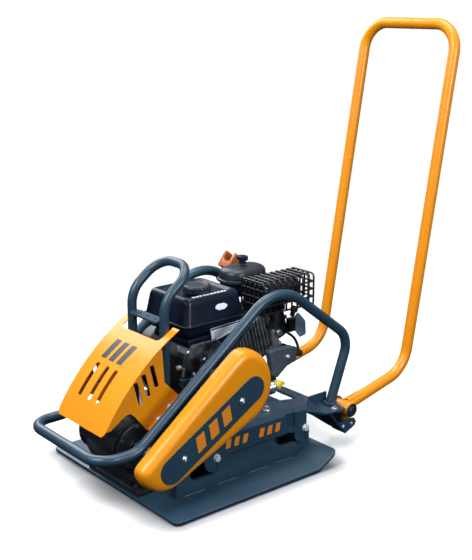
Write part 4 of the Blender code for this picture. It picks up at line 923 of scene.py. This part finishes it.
def engine_cowls():
    """The shroud beside the cylinder, its heat plate and the plug's boot and lead."""
    shroud = rounded([(0.181, 0.1895), (0.197, 0.18), (0.232, 0.205), (0.2585, 0.2105), (0.261, 0.242),
                      (0.2485, 0.2495), (0.2, 0.2545), (0.169, 0.252), (0.1765, 0.224)], 0.006, 5)
    make("cylinder_cowl", "dark_plastic", (add_prism, shroud, "X", 0.06, 0.0802), mat=COWL_GREY,
         bevel=0.0045, segments=4, stands_for=("cylinder_shroud",))
    shield = rounded([(0.279, 0.326), (0.303, 0.3), (0.306, 0.264), (0.286, 0.26), (0.271, 0.278),
                      (0.27, 0.32)], 0.006, 5)
    make("heat_plate", "zinc_steel", (add_prism, shield, "X", 0.059, 0.0615), mat=SHIELD, bevel=0.0006)
    make("heat_plate_arm", "black_steel", (add_block, (0.043, 0.254, 0.278), (0.0588, 0.284, 0.312)),
         mat=MESH_BLACK, bevel=0.0025, segments=3)
    boot = [(0.0, 0.0), (0.0095, 0.0), (0.0105, 0.004), (0.0105, 0.02), (0.0085, 0.026), (0.007, 0.036),
            (0.0, 0.038)]
    lead = spline([(0.044, 0.2935, 0.215), (0.04, 0.299, 0.228), (0.02, 0.296, 0.252),
                   (-0.025, 0.27, 0.27), (-0.062, 0.19, 0.28), (-0.068, 0.1, 0.285),
                   (-0.074, 0.05, 0.29)], 12)
    knob = [(0.0, 0.0), (0.006, 0.0), (0.006, 0.01), (0.0095, 0.013), (0.0095, 0.022), (0.007, 0.025),
            (0.0, 0.0255)]
    make("plug_boot_and_lead", "black_rubber",
         (add_lathe, boot, (0.044, 0.294, 0.214), (0.05, -0.8, 0.52), 28), (add_tube, lead, 0.0036, 16),
         (add_lathe, knob, (0.05, 0.268, 0.316), (0.2, 0.2, 0.95), 24))


def blower():
    rim = 0.088
    profile = [(rim, -0.069), (rim, -0.104), (rim - 0.0015, -0.108), (rim - 0.005, -0.112),
               (rim - 0.01, -0.1145), (0.07, -0.1165), (0.067, -0.1185), (0.064, -0.124),
               (0.061, -0.1268), (0.056, -0.1276), (0.02, -0.1288), (0.0, -0.1289), (0.0, -0.1265),
               (0.06, -0.1252), (0.066, -0.1148), (rim - 0.011, -0.1126), (rim - 0.0025, -0.107),
               (rim - 0.0025, -0.069)]
    middle = Vector((0, CRANK.y, CRANK.z))
    make("blower_cover", "engine_black", (add_lathe, profile, middle, (1, 0, 0), 72, True), smooth=40.0,
         stands_for=("blower_housing",))
    # painted shade: flat dark shapes laid on the starter cover stand for the grille's slot openings
    bm = bmesh.new()
    slots, hub_r, grille_r, bolt_circle = 20, 0.028, 0.054, 0.075
    for a in (tau * k / slots for k in range(slots)):
        across = Vector((0, cos(a), sin(a)))
        side = Vector((0, -sin(a), cos(a)))
        inner, outer = middle + across * hub_r, middle + across * grille_r
        corners = [inner - side * 0.0016, outer - side * 0.003, outer + side * 0.003, inner + side * 0.0016]
        add_prism(bm, [(p.y, p.z) for p in corners], "X", -0.129, -0.1278)
    piece("starter_grille_painted_slot_shade", bm, "engine_black", mat=PAINTED_SHADE)
    spots = [(-0.1146, CRANK.y + bolt_circle * cos(a), CRANK.z + bolt_circle * sin(a))
             for a in map(radians, (40, 160, 280))]
    bolts = [(add_bolt, spot, (-1, 0, 0), 0.0085, 0.005, 0.0068) for spot in spots]
    make("blower_bolts", "zinc_steel", *bolts, smooth=BOLT_SMOOTH)


def air_cleaner():
    low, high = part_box("air_cleaner_cover")
    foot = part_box("air_cleaner_base")[0].z
    # height, inset from the box, corner radius
    case = [(foot, 0.012, 0.03), (foot + 0.004, 0.007, 0.033), (0.376, 0.003, 0.036), (0.392, 0.002, 0.037),
            (0.404, 0.002, 0.037)]
    make("air_cleaner_case", "engine_black",
         (add_rings, [plan_ring(low, high, z, inset + 0.003, r, 14) for z, inset, r in case]), smooth=45.0,
         stands_for=("air_cleaner_base",))
    lid = [(0.4, 0.0012, 0.038), (0.4006, 0.0, 0.038), (0.406, 0.0, 0.038), (0.4068, 0.0012, 0.038),
           (0.4074, 0.0034, 0.037), (0.418, 0.004, 0.037), (0.4235, 0.005, 0.036), (0.4275, 0.0072, 0.035),
           (0.4305, 0.0108, 0.033), (0.4325, 0.0155, 0.03), (0.4336, 0.021, 0.026), (0.4342, 0.029, 0.02),
           (0.4345, 0.0385, 0.01)]
    make("air_cleaner_lid", "dark_plastic",
         (add_rings, [plan_ring(low, high, *station, 14) for station in lid]), smooth=45.0,
         stands_for=("air_cleaner_cover",))
    spot = JOINT_AT["knob"]
    hub = [(0, 0), (0.0085, 0), (0.0085, 0.004), (0.007, 0.006), (0.007, 0.0085), (0.0125, 0.0095),
           (0.013, 0.011), (0.013, 0.017), (0.012, 0.019), (0.008, 0.0205), (0, 0.0207)]
    wing = rounded(rect(-0.016, -0.0035, 0.016, 0.0035), 0.0034, 6)
    bm = bmesh.new()
    add_lathe(bm, hub, spot, UP, 72, lobes=6, lobe_depth=0.05)
    add_prism(bm, [(spot.x + x, spot.y + y) for x, y in wing], "Z", spot.z + 0.0098, spot.z + 0.0187)
    piece("air_cleaner_wing_knob", bm, "engine_black", "knob", stands_for=("air_cleaner_knob",))
    elbow = spline([(-0.078, 0.14, 0.33), (-0.078, 0.158, 0.34), (-0.07, 0.172, 0.356),
                    (-0.064, 0.18, 0.372)], 10)
    make("intake_elbow", "black_rubber", (add_tube, elbow, 0.015, 28))


def muffler():
    from_cad("muffler", "cast_iron", 0.003, 3, mat=MESH_BLACK)
    low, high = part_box("muffler")
    margin, first, pitch, wide = 0.012, 0.018, 0.0185, 0.008
    louvres = [rounded(rect(low.x + margin, y, high.x - margin, y + wide), 0.0038, 4)
               for y in (low.y + first + k * pitch for k in range(6))]
    make("muffler_louvres", "cast_iron",
         *((add_prism, louvre, "Z", high.z - 0.0006, high.z + 0.0028) for louvre in louvres), bevel=0.0012)
    wire, hem = 0.0024, 0.358     # the wire's radius, and where the cage's inner side ends
    low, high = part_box("muffler_guard")
    low, high = low + Vector((wire, wire, wire)), high - Vector((wire, wire, wire))
    cells_x, cells_y, cells_z = 5, 9, 4
    hoops = []
    for y in (low.y + (high.y - low.y) * k / cells_y for k in range(cells_y + 1)):
        hoops.append([(high.x, y, low.z), (high.x, y, high.z), (low.x, y, high.z), (low.x, y, hem)])
    crown = high.z - 0.0014
    for x in (low.x + (high.x - low.x) * k / cells_x for k in range(1, cells_x)):
        end = hem if x < 0.06 else low.z
        hoops.append([(x, low.y, end), (x, low.y, crown), (x, high.y, crown), (x, high.y, end)])
    bm = bmesh.new()
    for hoop in hoops:
        add_tube(bm, rounded(hoop, [0, 0.01, 0.01, 0], 6, closed=False), wire, 10)
    for z in (low.z + (high.z - low.z) * k / cells_z for k in range(cells_z)):
        if z < 0.356:
            add_tube(bm, [(high.x, low.y, z), (high.x, high.y, z)], wire, 10)
            continue
        loop = [(x, y, z) for x, y in rect(low.x, low.y, high.x, high.y)] + [(low.x, low.y, z + 1e-5)]
        add_tube(bm, rounded(loop, [0, 0.008, 0.008, 0.008, 0], 5, closed=False), wire, 10)
    piece("muffler_cage", bm, "black_steel", mat=MESH_BLACK, stands_for=("muffler_guard",))
    bend = low.y + 0.0052
    make("muffler_shield", "black_steel",
         (add_block, (low.x + 0.001, low.y + 0.003, 0.338), (high.x - 0.001, bend, high.z - 0.006)),
         (add_block, (high.x - 0.0056, bend, 0.346), (high.x - 0.0034, low.y + 0.07, high.z - 0.016)),
         mat=MESH_BLACK, bevel=0.0006)
    pipe = spline([(0.06, 0.2, 0.3), (0.06, 0.204, 0.33), (0.056, 0.21, 0.358)], 8)
    make("exhaust_pipe", "cast_iron", (add_tube, pipe, 0.013, 24))


def controls():
    from_cad("throttle_lever", "black_steel", 0.0004)
    from_cad("choke_lever", "dark_plastic", 0.0004)
    from_cad("fuel_cock_lever", "dark_plastic", 0.0004)
    from_cad("engine_switch", "engine_black", 0.0006)
    from_cad("oil_dipstick", "yellow_plastic", 0.001)
    from_cad("starter_grip", "dark_plastic", 0.0022)
    neck = [(0, 0.04), (0.0113, 0.04), (0.0113, 0.118), (0.0135, 0.119), (0.0138, 0.1205), (0.0138, 0.129),
            (0.013, 0.1316), (0, 0.1316)]
    neck_way = Vector((0.165, 0.975, 0.15)).normalized()
    make("oil_neck", "zinc_steel", (add_lathe, neck, (0.068, 0.05, 0.148), neck_way, 40))
    bezel_at = (-0.03, -0.0822, 0.262)
    make("switch_bezel", "dark_plastic", (add_lathe, disc(0.013, 0.0022), bezel_at, (0, 1, 0), 32))
    fuel = spline([(-0.06, 0.05, 0.33), (-0.083, 0.06, 0.318), (-0.094, 0.085, 0.3), (-0.092, 0.11, 0.296),
                   (-0.078, 0.126, 0.3)], 12)
    make("fuel_hose", "black_rubber", (add_tube, fuel, 0.0038, 16))
    link = spline([(-0.084, 0.05, 0.348), (-0.084, 0.08, 0.352), (-0.082, 0.112, 0.34)], 8)
    turns, steps, reach = 20, 160, 0.0032
    coil = [(-0.076 + reach * cos(tau * turns * t), 0.052 + 0.05 * t,
             0.355 + reach * sin(tau * turns * t)) for t in (k / steps for k in range(steps + 1))]
    make("governor_links", "zinc_steel",
         (add_tube, [(-0.0985, 0.046, 0.342), (-0.066, 0.046, 0.342)], 0.004, 16),
         (add_tube, link, 0.0011, 10), (add_tube, coil, 0.0005, 6))


def drive():
    for node in ("exciter_pulley", "clutch_pulley", "flywheel"):
        from_cad(node, "cast_iron", 0.0007)
    for node in ("exciter_shaft", "crankshaft", "exciter_bearing_left", "exciter_bearing_right"):
        from_cad(node, "zinc_steel", 0.0006)
    from_cad("eccentric_weight", "cast_iron")
    belt = from_cad("drive_belt", "black_rubber", 0.0006)
    belt.parent = None
    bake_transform(belt)


for build in (frame_tubes, handle, handle_clip, hood, belt_guard, deck, base, fuel_tank, engine_block,
              engine_cowls, blower, air_cleaner, muffler, controls, drive):
    build()

# ---------------------------------------------------------------- studio

PAINTED_SHADOW_FOOTPRINT = (0.222, 0.215, 0.0)     # half extents of the contact shadow painted into the floor's colour
PAINTED_SHADOW_REACH = 0.105                        # how far that painted shadow reaches beyond them


def studio_floor():
    """A white floor with a contact shadow painted into its colour close around the machine, that fades into the
    white backdrop.
    """
    mat = bpy.data.materials.new("studio_floor")
    mat.use_nodes = True
    tree = Tree(mat.node_tree)
    shader = mat.node_tree.nodes["Principled BSDF"]
    spot = tree.add("ShaderNodeTexCoord").outputs["Object"]
    shader.inputs["Roughness"].default_value = 0.9
    shader.inputs["Specular IOR Level"].default_value = 0.0
    away = tree.vector("LENGTH", spot)
    outside = tree.vector("MAXIMUM", tree.vector("SUBTRACT", tree.vector("ABSOLUTE", spot), PAINTED_SHADOW_FOOTPRINT))
    painted_shadow_falloff = tree.span(tree.vector("LENGTH", outside), 0.0, PAINTED_SHADOW_REACH, interpolation_type="SMOOTHERSTEP")
    # painted shadow: the floor's own colour is darker close around the machine's footprint
    colour = tree.mix(painted_shadow_falloff, (0.34, 0.34, 0.37), (0.95, 0.95, 0.955))
    mat.node_tree.links.new(colour, shader.inputs["Base Color"])
    far = tree.span(away, 0.55, 1.9, interpolation_type="SMOOTHSTEP")
    white = tree.add("ShaderNodeEmission", {"Color": (1.0, 1.0, 1.0, 1.0), "Strength": 1.0})
    blend = tree.add("ShaderNodeMixShader", {0: far, 1: shader.outputs[0], 2: white.outputs[0]})
    mat.node_tree.links.new(blend.outputs[0], mat.node_tree.nodes["Material Output"].inputs["Surface"])
    bm = bmesh.new()
    bmesh.ops.create_grid(bm, x_segments=1, y_segments=1, size=30.0)
    mesh = bpy.data.meshes.new("floor")
    bm.to_mesh(mesh)
    bm.free()
    mesh.materials.append(mat)
    floor = place("floor", mesh)
    floor.location.z = -0.0008
    floor.visible_diffuse = False
    floor.visible_glossy = False


def studio_world():
    """A dim sky that lights the machine; the camera itself sees plain white."""
    world = bpy.data.worlds.new("studio")
    bpy.context.scene.world = world
    world.use_nodes = True
    sky = Tree(world.node_tree)
    for old in list(world.node_tree.nodes):
        world.node_tree.nodes.remove(old)
    ray = sky.add("ShaderNodeTexCoord").outputs["Generated"]
    height = sky.add("ShaderNodeSeparateXYZ", {"Vector": ray}).outputs["Z"]
    ramp = sky.add("ShaderNodeValToRGB", {"Fac": sky.span(height, -1.0, 1.0)})
    stops = ramp.color_ramp.elements
    stops[0].position = 0.47
    stops[0].color = (0.02, 0.024, 0.032, 1.0)
    stops[1].position = 0.95
    stops[1].color = (0.86, 0.95, 1.0, 1.0)
    stops.new(0.56).color = (0.34, 0.38, 0.44, 1.0)
    soft = sky.add("ShaderNodeBackground", {"Color": ramp.outputs["Color"], "Strength": 0.46})
    plain = sky.add("ShaderNodeBackground", {"Color": (1.0, 1.0, 1.0, 1.0), "Strength": 1.0})
    seen = sky.add("ShaderNodeLightPath").outputs["Is Camera Ray"]
    both = sky.add("ShaderNodeMixShader", {0: seen, 1: soft.outputs[0], 2: plain.outputs[0]})
    sky.add("ShaderNodeOutputWorld", {"Surface": both.outputs[0]})


def area_light(name, at, target, size, power, colour):
    data = bpy.data.lights.new(name, "AREA")
    data.shape = "DISK"
    data.size = size
    data.energy = power
    data.color = colour
    lamp = place(name, data)
    lamp.location = at
    lamp.rotation_mode = "QUATERNION"
    lamp.rotation_quaternion = (Vector(target) - Vector(at)).to_track_quat("-Z", "Y")


studio_floor()
studio_world()
area_light("key", (0.3, -2.0, 2.2), (0.0, 0.0, 0.2), 1.5, 66.0, (1.0, 0.985, 0.96))
area_light("left", (-2.0, 0.25, 1.95), (0.0, -0.05, 0.25), 1.9, 48.0, (0.97, 0.985, 1.0))
area_light("side", (2.3, 0.3, 1.3), (0.0, 0.1, 0.25), 1.0, 32.0, (0.95, 0.98, 1.0))
area_light("top", (0.0, 0.4, 2.6), (0.0, 0.1, 0.0), 1.6, 36.0, (0.96, 0.98, 1.0))

camera_data = bpy.data.cameras.new("camera")
camera_data.lens = 67.18
camera_data.sensor_width = 36.0
camera = place("camera", camera_data)
camera.location = (1.8395, -1.3898, 1.0652)
camera.rotation_euler = (radians(74.862), 0.0, radians(50.387))
bpy.context.scene.camera = camera
bpy.context.scene.view_settings.view_transform = "Standard"
